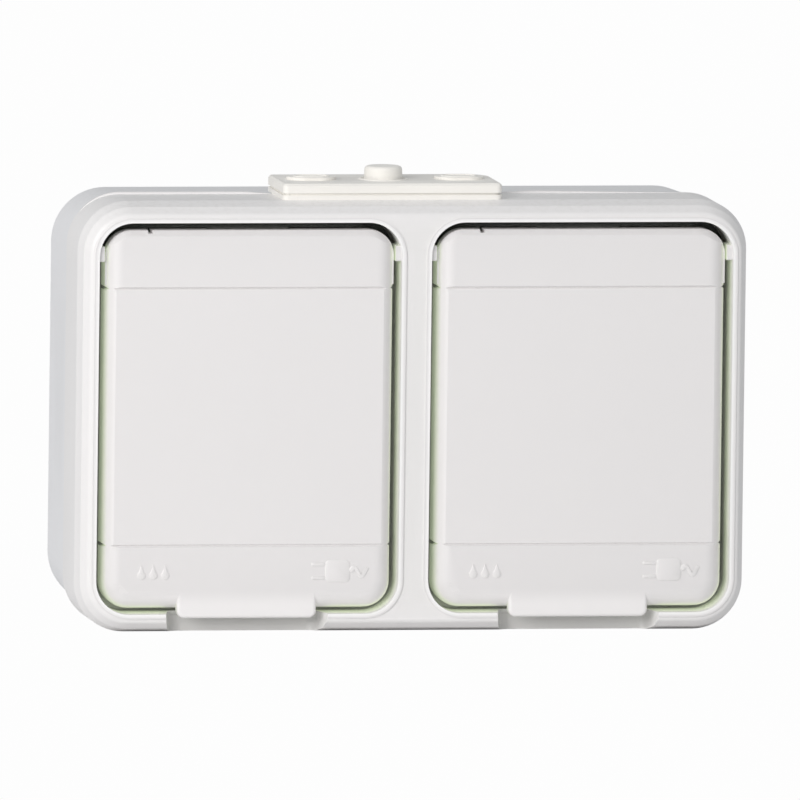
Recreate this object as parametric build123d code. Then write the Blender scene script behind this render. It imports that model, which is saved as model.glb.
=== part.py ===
"""Splash-proof double wall socket, built as separate pieces in one frame.

Units are millimetres. +Z is up, the front faces -Y and the wall plane is y = 0.
The origin is the centre of the back face.
"""
import os

from build123d import *

os.makedirs("parts", exist_ok=True)

# front frame
WIDTH = 141.0
HEIGHT = 90.0
CORNER_R = 10.4
RIM_Y = -50.0
EDGE_Y = -44.0
PARTING_Y = -29.0
RIM_WIDTH = 1.0
RIM_HEIGHT = 0.3
LAND_W = 0.7
SLOPE_TURN_Y = -47.7
SLOPE_BULGE = 0.55
LAND_ROUND = 1.1

# openings, one for each lid
BAR_W = 6.3
OPENING_W = 63.6
OPENING_H = 81.7
OPENING_R = 7.0
GANG_X = (OPENING_W + BAR_W) / 2.0
OPENING_TOP_Z = OPENING_H / 2.0
FLOOR_Y = -38.0
FLOOR_T = 2.0
FLOOR_BACK_Y = FLOOR_Y + FLOOR_T

# back housing
BASE_STEP = 0.5
BASE_DRAFT_X = 0.7
BASE_DRAFT_Z = 0.8
BASE_R = 11.2
WALL = 2.6
BACK_WALL = 2.6
LEDGE_W = 2.0
LEDGE_Y = -24.6
LEDGE_T = 4.0
LIP_GAP = 0.3
LIP_T = 1.4
LIP_END_Y = -26.0

# clearances
AIR = 0.3
RUNNING = 0.05
SNUG = 0.02

# lids and their hinges
LID_GAP = 1.45
LID_W = OPENING_W - 2.0 * LID_GAP
LID_BOTTOM_GAP = 1.1
LID_BOTTOM_Z = -OPENING_TOP_Z + LID_BOTTOM_GAP
LID_CORNER_R = 5.5
LID_ROUND = 3.5
LID_TOP_ROUND = 1.6
LID_RISE = 8.0
LID_FRONT_T = 2.2
LID_SIDE_T = 1.8
LID_BACK_Y = -42.5
HINGE_Y = -45.0
HINGE_DROP = 6.55
HINGE_Z = OPENING_TOP_Z - HINGE_DROP
HINGE_R = HINGE_Y - RIM_Y
LID_TOP_Z = HINGE_Z + HINGE_R
PIN_R = 1.0
KNUCKLE_R = 3.2
KNUCKLE_X = 9.8
KNUCKLE_T = 2.0
TOP_WALL_END = 2.0
EAR_BAR_H = 3.2
EAR_BAR_FRONT_Y = -49.5
EAR_BAR_BACK_Y = -42.6
PANEL_TOP_Z = 27.1
PANEL_BOTTOM_Z = -26.5
PANEL_DEPTH = 0.25
GROOVE_W = 0.8
GROOVE_DEPTH = 0.55
GROOVE_SIDE_DEPTH = 0.8
MARK_X = 21.1
MARK_W = 0.9
MARK_DEPTH = 0.7
LID_RIB_T = 1.2
LID_RIB_H = 1.6
LID_RIB_X = 26.2
LID_RIB_Z = 26.2
TAB_W = 29.3
TAB_TOP_Z = LID_BOTTOM_Z + 5.75
TAB_BOTTOM_Z = LID_BOTTOM_Z - 2.0
TAB_T = 2.4

# finger notch below each tab
NOTCH_W = 34.4
NOTCH_Y = -42.8
NOTCH_FLARE = 11.0
NOTCH_TILT = 12.0
NOTCH_PIVOT_Z = -OPENING_TOP_Z - 2.25
NOTCH_REACH = 8.0
NOTCH_MARGIN = HEIGHT / 2.0 - OPENING_TOP_Z - 4.15
NOTCH_R = 2.4

# plug recess
RECESS_R = 19.9
RECESS_DEPTH = 17.5
COLLAR_R = 22.9
COLLAR_Y = -43.0
RECESS_FLOOR_Y = COLLAR_Y + RECESS_DEPTH
CUP_T = 2.2
CUP_BACK_Y = RECESS_FLOOR_Y + CUP_T
FLANGE_W = 52.0
FLANGE_T = 2.0
POT_R = 22.0
PIN_PITCH = 19.0
PIN_HOLE_R = 2.65
GUIDE_W = 4.8
GUIDE_REACH = 2.7
CLIP_W = 4.8
CLIP_T = 0.8
CLIP_Z = 18.4

# seal between lid and collar
SEAL_R_IN = 20.3
SEAL_R_OUT = 22.5
SEAL_RIB_T = 1.0
SEAL_RIB_END_Y = -45.3

# contact carrier and metal parts
CLAMP_X = PIN_PITCH / 2.0 + 8.0
CARRIER_W = 2.0 * CLAMP_X + 9.0
CARRIER_H = 26.0
CARRIER_BACK_Y = -5.6
CARRIER_FRONT_T = 1.7
CHAMBER_H = 9.4
SLEEVE_R_IN = 2.45
SLEEVE_R_OUT = 3.25
SLEEVE_SLIT = 0.7
FOOT_T = 1.0
FOOT_REACH = 12.0
CLAMP_W = 6.6
CLAMP_H = 7.2
CLAMP_FRONT_Y = -20.0
CLAMP_BACK_Y = -12.0
WIRE_R = 1.6
WIRE_Y = -14.6
STRAP_T = 1.0
STRAP_W = 5.0
LINK_T = 1.0
LINK_Z = 8.0
LINK_H = 3.6
EAR_X = 18.0
EAR_Z = 17.0
EAR_R = 4.2
EAR_T = 3.0

# screws
COVER_X = GANG_X + OPENING_W / 2.0 - 5.85
COVER_Z = OPENING_TOP_Z - 7.85
COVER_HEAD_R = 3.2
COVER_HEAD_T = 2.0
COVER_SHANK_R = 1.75
COVER_LENGTH = 16.0
POST_R = 3.8
POST_END_Y = -32.6
SEAT_Y = -35.2
SMALL_HEAD_R = 2.6
SMALL_HEAD_T = 1.8
SMALL_SHANK_R = 1.5
WALL_HOLE_X = 48.0
WALL_HOLE_Z = 34.0
WALL_HOLE_R = 2.5

# cable entry on top
ENTRY_X = -4.2
ENTRY_W = 46.2
ENTRY_FRONT_Y = -44.0
ENTRY_BACK_Y = -22.6
ENTRY_CORNER_R = 1.2
ENTRY_BIG_R = 5.5
ENTRY_T = 3.4
ENTRY_EDGE = 0.45
SEAM_Z = 0.95
SEAM_W = 0.45
SEAM_DEPTH = 0.45
PAD_SHIFT = 15.6
PAD_LENGTH = 10.4
PAD_WIDTH = 7.4
PAD_H = 0.6
NECK_W = 37.0
NECK_FRONT_Y = -35.6
NECK_BACK_Y = -25.0
FLANGE_IN_T = 1.5
NUB_SHIFT = -0.4
NUB_R = 4.05
NUB_H = 2.8
NUB_ROUND = 0.8

# torsion springs on the hinge pins
SPRING_WIRE_R = 0.35
SPRING_R = 2.2
SPRING_HALF = 7.4
SPRING_LEG_X = 6.4
SPRING_LEG_Y = HINGE_Y - SPRING_R
SPRING_LEG_END_Z = HINGE_Z - 10.3


def face_plane(x, y, z):
    """A sketch plane that looks forward: local x is X and local y is Z."""
    return Plane(origin=(x, y, z), x_dir=(1, 0, 0), z_dir=(0, -1, 0))


def block(x0, x1, y0, y1, z0, z1):
    """A box between six limits."""
    size = Box(abs(x1 - x0), abs(y1 - y0), abs(z1 - z0))
    return Pos((x0 + x1) / 2.0, (y0 + y1) / 2.0, (z0 + z1) / 2.0) * size


def slab(x, z, width, height, radius, y0, y1):
    """A rounded rectangle standing upright, between y0 at the back and y1 in front."""
    outline = RectangleRounded(width, height, radius)
    return extrude(face_plane(x, y0, z) * outline, amount=y0 - y1)


def rod_y(x, z, radius, y0, y1):
    """A cylinder along Y, between y0 at the back and y1 in front."""
    return extrude(face_plane(x, y0, z) * Circle(radius), amount=y0 - y1)


def rod_x(y, z, radius, x0, x1):
    """A cylinder along X."""
    plane = Plane(origin=(x0, y, z), x_dir=(0, 1, 0), z_dir=(1, 0, 0))
    return extrude(plane * Circle(radius), amount=x1 - x0)


def rod_z(x, y, radius, z0, z1):
    """A cylinder along Z."""
    plane = Plane(origin=(x, y, z0), x_dir=(1, 0, 0), z_dir=(0, 0, 1))
    return extrude(plane * Circle(radius), amount=z1 - z0)


def side_prism(points, x0, x1):
    """An outline of (y, z) points, drawn out along X."""
    plane = Plane(origin=(x0, 0, 0), x_dir=(0, 1, 0), z_dir=(1, 0, 0))
    outline = make_face(Polyline(points, close=True))
    return extrude(plane * outline, amount=x1 - x0)


def save(name, shape):
    """Write one node, as one solid or a group of separate solids."""
    solids = shape.solids()
    body = solids[0] if len(solids) == 1 else Compound(children=list(solids))
    body.label = name
    export_step(body, "parts/" + name + ".step")
    print(name, len(solids), round(sum(s.volume for s in solids), 1))


def neck_block(grow):
    """The space that the neck of the cable entry takes in the top walls."""
    return block(
        ENTRY_X - NECK_W / 2.0 - grow,
        ENTRY_X + NECK_W / 2.0 + grow,
        NECK_BACK_Y + grow,
        NECK_FRONT_Y - grow,
        HEIGHT / 2.0 - 8.0,
        HEIGHT / 2.0 + 1.0,
    )


def inner_half(z_way):
    """Half width or half height of the back housing's inside at its mouth."""
    half = HEIGHT / 2.0 if z_way else WIDTH / 2.0
    return half - BASE_STEP - WALL


def ring(half_x, half_z, radius, thick, y0, y1):
    """A rounded rectangular ring, measured at its outside."""
    outer = slab(0, 0, 2.0 * half_x, 2.0 * half_z, radius, y0, y1)
    inner_x = 2.0 * (half_x - thick)
    inner_z = 2.0 * (half_z - thick)
    inner = slab(0, 0, inner_x, inner_z, radius - thick, y0 + 0.5, y1 - 0.5)
    return outer - inner


def base_housing():
    """Back housing with screw posts, carrier pads, knock-outs and the top cut-out."""
    half_x = WIDTH / 2.0 - BASE_STEP
    half_z = HEIGHT / 2.0 - BASE_STEP
    back = RectangleRounded(
        2.0 * (half_x - BASE_DRAFT_X), 2.0 * (half_z - BASE_DRAFT_Z), BASE_R
    )
    front = RectangleRounded(2.0 * half_x, 2.0 * half_z, BASE_R)
    sections = [face_plane(0, 0, 0) * back, face_plane(0, PARTING_Y, 0) * front]
    body = loft(sections, ruled=True)
    in_x = inner_half(False)
    in_z = inner_half(True)
    in_r = BASE_R - WALL
    deep = -BACK_WALL
    body -= slab(0, 0, 2.0 * in_x, 2.0 * in_z, in_r, LEDGE_Y, PARTING_Y - 1.0)
    narrow_x = 2.0 * (in_x - LEDGE_W)
    narrow_z = 2.0 * (in_z - LEDGE_W)
    ledge_back = LEDGE_Y + LEDGE_T
    body -= slab(0, 0, narrow_x, narrow_z, in_r - LEDGE_W, ledge_back, LEDGE_Y - 0.1)
    body -= slab(0, 0, 2.0 * in_x - 0.8, 2.0 * in_z - 0.8, in_r, deep, ledge_back)
    for side in (-1, 1):
        for level in (-1, 1):
            post = rod_y(side * COVER_X, level * COVER_Z, POST_R, deep + 0.5, POST_END_Y)
            body += post
            collar = rod_y(
                side * WALL_HOLE_X, level * WALL_HOLE_Z, 5.0, deep + 0.5, deep - 1.4
            )
            body += collar
    for side in (-1, 1):
        for level in (-1, 1):
            pad = rod_y(
                side * GANG_X - level * EAR_X,
                level * EAR_Z,
                EAR_R,
                deep + 0.5,
                CARRIER_BACK_Y,
            )
            body += pad
    for rib_x in (-8.0, 8.0):
        body += block(rib_x - 0.8, rib_x + 0.8, deep + 0.5, -4.4, -in_z + 0.2, in_z - 0.2)
    for side in (-1, 1):
        for level in (-1, 1):
            hole_end = SEAT_Y + COVER_LENGTH + 0.4
            body -= rod_y(
                side * COVER_X,
                level * COVER_Z,
                COVER_SHANK_R + SNUG,
                hole_end,
                POST_END_Y - 1.0,
            )
            body -= rod_y(
                side * WALL_HOLE_X, level * WALL_HOLE_Z, WALL_HOLE_R, 1.0, -6.0
            )
            body -= rod_y(
                side * GANG_X - level * EAR_X,
                level * EAR_Z,
                SMALL_SHANK_R + SNUG,
                -1.0,
                CARRIER_BACK_Y - 1.0,
            )
    body -= neck_block(0.0)
    low = -HEIGHT / 2.0
    for knock_x in (-GANG_X, GANG_X):
        groove = rod_z(knock_x, -13.5, 10.2, low - 1.0, low + 1.5)
        groove -= rod_z(knock_x, -13.5, 9.4, low - 2.0, low + 2.0)
        body -= groove
    drain = rod_z(0, -13.5, 3.0, low - 1.0, low + 1.5)
    drain -= rod_z(0, -13.5, 2.4, low - 2.0, low + 2.0)
    return body - drain


def frame_shell():
    """Outside of the front frame: margins with a flat land and a bulging slope."""
    back = slab(0, 0, WIDTH, HEIGHT, CORNER_R, PARTING_Y, EDGE_Y)
    half_x = GANG_X + OPENING_W / 2.0 + RIM_WIDTH + LAND_W
    half_z = OPENING_TOP_Z + RIM_WIDTH + LAND_W
    share = (SLOPE_TURN_Y - EDGE_Y) / (RIM_Y - EDGE_Y)
    mid_x = WIDTH / 2.0 + (half_x - WIDTH / 2.0) * share + SLOPE_BULGE
    mid_z = HEIGHT / 2.0 + (half_z - HEIGHT / 2.0) * share + SLOPE_BULGE
    first = RectangleRounded(WIDTH, HEIGHT, CORNER_R)
    second = RectangleRounded(2.0 * mid_x, 2.0 * mid_z, CORNER_R - 0.6)
    third = RectangleRounded(2.0 * half_x, 2.0 * half_z, CORNER_R - 1.9)
    lower = loft(
        [face_plane(0, EDGE_Y, 0) * first, face_plane(0, SLOPE_TURN_Y, 0) * second],
        ruled=True,
    )
    upper = loft(
        [face_plane(0, SLOPE_TURN_Y, 0) * second, face_plane(0, RIM_Y, 0) * third],
        ruled=True,
    )
    slope = lower + upper
    slope = fillet(slope.faces().sort_by(Axis.Y)[0].edges(), LAND_ROUND)
    return back + slope


def finger_notch(x):
    """The tool that cuts one flared finger notch."""
    depth = NOTCH_Y - RIM_Y + 1.5
    mouth = Rectangle(NOTCH_W, 2.0 * NOTCH_REACH + NOTCH_MARGIN)
    plane = face_plane(0, -depth, -NOTCH_MARGIN / 2.0)
    tool = extrude(plane * mouth, amount=-depth, taper=NOTCH_FLARE)
    inner = tool.edges().filter_by(Axis.Z).sort_by(Axis.Y)[-2:]
    tool = fillet(inner, NOTCH_R)
    return Pos(x, NOTCH_Y, NOTCH_PIVOT_Z) * Rot(-NOTCH_TILT, 0, 0) * tool


def hinge_ear(wall_x, way):
    """The bar beside a lid that carries one end of its pin."""
    start = min(wall_x - way * (LID_GAP - AIR), wall_x + way * 0.5)
    end = max(wall_x - way * (LID_GAP - AIR), wall_x + way * 0.5)
    half = EAR_BAR_H / 2.0
    bar = block(
        start, end, EAR_BAR_BACK_Y, EAR_BAR_FRONT_Y, HINGE_Z - half, HINGE_Z + half
    )
    return fillet(bar.faces().sort_by(Axis.Y)[0].edges().filter_by(Axis.X), 0.5)


def front_frame():
    """Front frame with two wells, rims, hinge ears, notches and the seal lip."""
    body = frame_shell()
    for side in (-1, 1):
        x = side * GANG_X
        rim = slab(
            x,
            0,
            OPENING_W + 2.0 * RIM_WIDTH,
            OPENING_H + 2.0 * RIM_WIDTH,
            OPENING_R + RIM_WIDTH,
            RIM_Y + 0.5,
            RIM_Y - RIM_HEIGHT,
        )
        body += rim
    in_x = inner_half(False) - LIP_GAP
    in_z = inner_half(True) - LIP_GAP
    in_r = BASE_R - WALL - LIP_GAP
    body += ring(in_x, in_z, in_r, LIP_T, LIP_END_Y, PARTING_Y - 0.5)
    for side in (-1, 1):
        x = side * GANG_X
        body -= slab(x, 0, OPENING_W, OPENING_H, OPENING_R, FLOOR_Y, RIM_Y - 2.0)
        body -= finger_notch(x)
    cave_x = 2.0 * (in_x - LIP_T)
    cave_z = 2.0 * (in_z - LIP_T)
    body -= slab(0, 0, cave_x, cave_z, in_r - LIP_T, PARTING_Y + 4.0, FLOOR_BACK_Y)
    for side in (-1, 1):
        x = side * GANG_X
        body -= rod_y(x, 0, COLLAR_R + AIR, FLOOR_BACK_Y + 1.0, FLOOR_Y - 1.0)
        for level in (-1, 1):
            body += rod_y(
                side * COVER_X, level * COVER_Z, 4.6, POST_END_Y, FLOOR_BACK_Y - 0.5
            )
        for way in (-1, 1):
            body += hinge_ear(x + way * OPENING_W / 2.0, way)
    for side in (-1, 1):
        x = side * GANG_X
        for level in (-1, 1):
            body -= rod_y(
                side * COVER_X, level * COVER_Z, COVER_HEAD_R + AIR, SEAT_Y, FLOOR_Y - 1.0
            )
            body -= rod_y(
                side * COVER_X,
                level * COVER_Z,
                COVER_SHANK_R + 0.2,
                POST_END_Y + 1.0,
                SEAT_Y - 0.5,
            )
        for way in (-1, 1):
            near = x + way * (OPENING_W / 2.0 - LID_GAP)
            far = x + way * (OPENING_W / 2.0 + 1.2)
            body -= rod_x(HINGE_Y, HINGE_Z, PIN_R, min(near, far), max(near, far))
    return body - neck_block(0.0)


def housing_seal():
    """Elastomer ring between the back housing's ledge and the frame's lip."""
    half_x = inner_half(False) - 0.1
    half_z = inner_half(True) - 0.1
    body = ring(half_x, half_z, BASE_R - WALL - 0.1, 1.8, LEDGE_Y, LIP_END_Y)
    return body - neck_block(0.0)


def entry_layer(shrink, z0, z1):
    """One layer of the entry plate, with a big round at its back right corner."""
    depth = ENTRY_BACK_Y - ENTRY_FRONT_Y
    shape = Rectangle(ENTRY_W - 2.0 * shrink, depth - 2.0 * shrink)
    corners = shape.vertices().sort_by(Axis.X)
    right = corners[2:].sort_by(Axis.Y)
    shape = fillet([corners[0], corners[1], right[0]], ENTRY_CORNER_R)
    big = max(shape.vertices(), key=lambda corner: corner.X + corner.Y)
    shape = fillet(big, ENTRY_BIG_R)
    middle = (ENTRY_BACK_Y + ENTRY_FRONT_Y) / 2.0
    return extrude(Plane(origin=(ENTRY_X, middle, z0)) * shape, amount=z1 - z0)


def cable_entry():
    """Elastomer entry plate with a neck, an inner flange and three membranes."""
    top = HEIGHT / 2.0
    middle = (ENTRY_BACK_Y + ENTRY_FRONT_Y) / 2.0
    face = top + ENTRY_T
    seam_top = top + SEAM_Z + SEAM_W
    upper = entry_layer(0.0, seam_top, face)
    upper = chamfer(upper.faces().sort_by(Axis.Z)[-1].edges(), ENTRY_EDGE)
    body = upper + entry_layer(0.0, top, top + SEAM_Z)
    body += entry_layer(SEAM_DEPTH, top + SEAM_Z / 2.0, seam_top + SEAM_W)
    nub_plane = Plane(origin=(ENTRY_X + NUB_SHIFT, middle, face - 0.3))
    nub = extrude(nub_plane * Circle(NUB_R), amount=NUB_H + 0.3, taper=3.0)
    nub = fillet(nub.faces().sort_by(Axis.Z)[-1].edges(), NUB_ROUND)
    body += nub
    for shift in (-PAD_SHIFT, PAD_SHIFT):
        plane = Plane(origin=(ENTRY_X + shift, middle, face - 0.3))
        body += extrude(plane * SlotOverall(PAD_LENGTH, PAD_WIDTH), amount=PAD_H + 0.3)
    neck = neck_block(0.0) & block(-70, 70, 0, -60, inner_half(True) - 2.5, top + 0.2)
    body += neck
    inner_z = inner_half(True) - LEDGE_W
    body += block(
        ENTRY_X - NECK_W / 2.0 - 1.6,
        ENTRY_X + NECK_W / 2.0 + 1.6,
        NECK_BACK_Y + 2.6,
        NECK_FRONT_Y,
        inner_z - FLANGE_IN_T,
        inner_z,
    )
    return body


def swing_drum(x):
    """The space that a lid's top may fill and still turn clear of its opening."""
    outline = RectangleRounded(
        OPENING_W - 2.0 * AIR, OPENING_H - 2.0 * AIR, OPENING_R - AIR
    )
    profile = face_plane(x, HINGE_Y, 0) * outline
    profile -= face_plane(x, HINGE_Y, HINGE_Z - OPENING_H) * Rectangle(
        2.0 * OPENING_W, 2.0 * OPENING_H
    )
    axis = Axis((x, HINGE_Y, HINGE_Z), (1, 0, 0))
    return revolve(profile, axis, 360)


def lid_outline_prism(x):
    """The lid's side outline drawn across its width: a plate with a thick head."""
    wide = LID_W / 2.0 + 1.0
    plate = block(x - wide, x + wide, RIM_Y, LID_BACK_Y, LID_BOTTOM_Z, HINGE_Z)
    behind = HINGE_Y + TOP_WALL_END
    head = block(x - wide, x + wide, RIM_Y, behind, HINGE_Z - 0.5, LID_TOP_Z)
    ends = head.edges().filter_by(Axis.X).sort_by(Axis.Z)[-2:]
    head = fillet(ends.sort_by(Axis.Y)[0], LID_TOP_ROUND)
    head &= swing_drum(x) + block(x - 40, x + 40, 0, -60, HINGE_Z - 9.0, HINGE_Z)
    return plate + head


def groove_prism(x, z):
    """A V groove across the front of a lid and round both its sides."""
    half = LID_W / 2.0
    low = z - GROOVE_W / 2.0
    high = z + GROOVE_W / 2.0
    inside = RIM_Y + GROOVE_DEPTH
    tool = side_prism(
        [(RIM_Y - 0.01, low), (inside, z), (RIM_Y - 0.01, high)], x - half - 1, x + half + 1
    )
    for way in (-1, 1):
        edge = x + way * (half + 0.01)
        deep = x + way * (half - GROOVE_SIDE_DEPTH)
        plane = Plane(origin=(0, LID_BACK_Y + 1.0, 0), x_dir=(1, 0, 0), z_dir=(0, -1, 0))
        outline = make_face(Polyline([(edge, low), (deep, z), (edge, high)], close=True))
        tool += extrude(plane * outline, amount=LID_BACK_Y - RIM_Y + 2.0)
    return tool


def lid(side):
    """One hinged lid with its knuckles, seal channel, spring catch and thumb tab."""
    x = side * GANG_X
    height = LID_TOP_Z - LID_BOTTOM_Z
    middle = (LID_TOP_Z + LID_BOTTOM_Z) / 2.0
    outline = slab(x, middle, LID_W, height, LID_CORNER_R, LID_BACK_Y + 5.0, RIM_Y)
    pillow = slab(
        x,
        middle + LID_RISE / 2.0,
        LID_W,
        height + LID_RISE,
        LID_CORNER_R,
        LID_BACK_Y + 1.0,
        RIM_Y,
    )
    pillow = fillet(pillow.faces().sort_by(Axis.Y)[0].edges(), LID_ROUND)
    body = pillow & outline & lid_outline_prism(x)
    tab = slab(
        x,
        (TAB_TOP_Z + TAB_BOTTOM_Z) / 2.0,
        TAB_W,
        TAB_TOP_Z - TAB_BOTTOM_Z,
        1.6,
        RIM_Y + TAB_T,
        RIM_Y,
    )
    tab = fillet(tab.faces().sort_by(Axis.Y)[0].edges().sort_by(Axis.Z)[0], 0.7)
    body += tab
    inner_w = LID_W - 2.0 * LID_SIDE_T
    front = RIM_Y + LID_FRONT_T
    inner_bottom = LID_BOTTOM_Z + LID_SIDE_T
    cave = slab(
        x,
        (inner_bottom + LID_TOP_Z) / 2.0,
        inner_w,
        LID_TOP_Z - inner_bottom,
        LID_CORNER_R - LID_SIDE_T,
        LID_BACK_Y + 2.0,
        front,
    )
    below = block(x - 40, x + 40, 0, -60, -50, HINGE_Z)
    roll = rod_x(HINGE_Y, HINGE_Z, HINGE_R - 1.9, x - 40, x + 40)
    roll += block(x - 40, x + 40, HINGE_Y, 0, HINGE_Z - 5, HINGE_Z + HINGE_R - 1.9)
    body -= cave & (below + roll)
    for way in (-1, 1):
        for place in (KNUCKLE_X, LID_W / 2.0 - LID_SIDE_T / 2.0):
            thick = KNUCKLE_T if place == KNUCKLE_X else LID_SIDE_T
            x0 = x + way * place - thick / 2.0
            x1 = x + way * place + thick / 2.0
            web = block(x0, x1, front - 0.3, LID_BACK_Y, HINGE_Z - 6.5, HINGE_Z)
            eye = rod_x(HINGE_Y, HINGE_Z, KNUCKLE_R, x0, x1)
            stem = block(x0, x1, front - 0.3, HINGE_Y + 1.0, HINGE_Z, HINGE_Z + 3.6)
            stem &= rod_x(HINGE_Y, HINGE_Z, HINGE_R - 0.8, x0, x1)
            body += (web + eye + stem) & outline
    channel = rod_y(x, 0, SEAL_R_OUT + SEAL_RIB_T, SEAL_RIB_END_Y, front - 0.3)
    channel -= rod_y(x, 0, SEAL_R_OUT, SEAL_RIB_END_Y + 1.0, front)
    core = rod_y(x, 0, SEAL_R_IN, SEAL_RIB_END_Y, front - 0.3)
    core -= rod_y(x, 0, SEAL_R_IN - SEAL_RIB_T, SEAL_RIB_END_Y + 1.0, front)
    body += channel + core
    rib_back = front + LID_RIB_H
    half_t = LID_RIB_T / 2.0
    end_x = LID_RIB_X + half_t
    end_z = LID_RIB_Z + half_t
    for way in (-1, 1):
        rib_x = x + way * LID_RIB_X
        body += block(
            rib_x - half_t, rib_x + half_t, front - 0.3, rib_back, -end_z, end_z
        )
        rib_z = way * LID_RIB_Z
        body += block(
            x - end_x, x + end_x, front - 0.3, rib_back, rib_z - half_t, rib_z + half_t
        )
    catch_z = HINGE_Z - 8.5
    catch_x = x + SPRING_LEG_X
    body += block(
        catch_x - 1.8, catch_x + 1.8, front - 0.3, -45.6, catch_z - 1.0, catch_z + 1.0
    )
    body -= rod_z(
        catch_x, SPRING_LEG_Y, SPRING_WIRE_R + 0.1, SPRING_LEG_END_Z - 0.2, catch_z + 2.0
    )
    for way in (-1, 1):
        x0 = x - LID_W if way < 0 else x + KNUCKLE_X - KNUCKLE_T
        x1 = x - KNUCKLE_X + KNUCKLE_T if way < 0 else x + LID_W
        body -= rod_x(HINGE_Y, HINGE_Z, PIN_R + RUNNING, x0, x1)
    reach = KNUCKLE_X - KNUCKLE_T / 2.0
    body -= block(x - reach, x + reach, -46.4, -38, HINGE_Z + 1.0, LID_TOP_Z + 1.0)
    body -= block(
        x - 40, x + 40, RIM_Y + PANEL_DEPTH, RIM_Y - 1.0, PANEL_BOTTOM_Z, PANEL_TOP_Z
    )
    for z in (PANEL_BOTTOM_Z, PANEL_TOP_Z):
        body -= groove_prism(x, z)
    mark_x = x - MARK_X
    mark_z = LID_TOP_Z - MARK_DEPTH
    half_mark = MARK_W / 2.0
    return body - block(
        mark_x - half_mark, mark_x + half_mark, -52, -40, mark_z, LID_TOP_Z + 1.0
    )


def lid_seal(side):
    """Soft ring in the lid's channel that presses on the collar of the recess."""
    x = side * GANG_X
    body = rod_y(x, 0, SEAL_R_OUT - SNUG, COLLAR_Y, RIM_Y + LID_FRONT_T)
    return body - rod_y(x, 0, SEAL_R_IN + SNUG, COLLAR_Y + 1.0, RIM_Y + LID_FRONT_T - 1.0)


def hinge_pin(side):
    """Steel pin, seated at both ends in the frame."""
    reach = OPENING_W / 2.0 + 1.1
    return rod_x(HINGE_Y, HINGE_Z, PIN_R, side * GANG_X - reach, side * GANG_X + reach)


def lid_spring(side):
    """Closely wound torsion spring round the pin, with one leg on each part."""
    x = side * GANG_X
    wire = SPRING_WIRE_R
    outer = rod_x(HINGE_Y, HINGE_Z, SPRING_R + wire, x - SPRING_HALF, x + SPRING_HALF)
    hole = rod_x(HINGE_Y, HINGE_Z, SPRING_R - wire, x - 9, x + 9)
    body = outer - hole
    body += rod_z(x + SPRING_LEG_X, SPRING_LEG_Y, wire, SPRING_LEG_END_Z, HINGE_Z)
    body += rod_y(x - SPRING_LEG_X, HINGE_Z - SPRING_R, wire, FLOOR_Y - 0.05, HINGE_Y)
    return body


def socket_cup(side):
    """Recess for the plug, with a collar, guide ribs, pin holes and earth slots."""
    x = side * GANG_X
    body = rod_y(x, 0, COLLAR_R, FLOOR_BACK_Y, COLLAR_Y)
    body += rod_y(x, 0, POT_R, CUP_BACK_Y, FLOOR_BACK_Y - 0.5)
    flange_back = FLOOR_BACK_Y + FLANGE_T
    body += slab(x, 0, FLANGE_W, FLANGE_W, 6.0, flange_back, FLOOR_BACK_Y)
    body -= rod_y(x, 0, RECESS_R, RECESS_FLOOR_Y, COLLAR_Y - 1.0)
    for way in (-1, 1):
        near = x + way * (RECESS_R - GUIDE_REACH)
        far = x + way * (RECESS_R + 0.8)
        guide = block(
            near, far, RECESS_FLOOR_Y + 0.5, COLLAR_Y + 1.2, -GUIDE_W / 2.0, GUIDE_W / 2.0
        )
        body += guide
        body -= rod_y(
            x + way * PIN_PITCH / 2.0, 0, PIN_HOLE_R, CUP_BACK_Y + 1, RECESS_FLOOR_Y - 1
        )
        slot_z = way * (CLIP_Z + 0.2)
        body -= block(
            x - CLIP_W / 2.0 - AIR,
            x + CLIP_W / 2.0 + AIR,
            CUP_BACK_Y + 1.0,
            RECESS_FLOOR_Y - 0.2,
            slot_z - 1.1,
            slot_z + 1.1,
        )
    body -= rod_y(x, 0, SMALL_SHANK_R + 0.2, CUP_BACK_Y + 1.0, RECESS_FLOOR_Y - 1.0)
    body -= rod_y(
        x, 0, SMALL_HEAD_R + 0.4, RECESS_FLOOR_Y + 1.1, RECESS_FLOOR_Y - 1.0
    )
    return body


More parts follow.
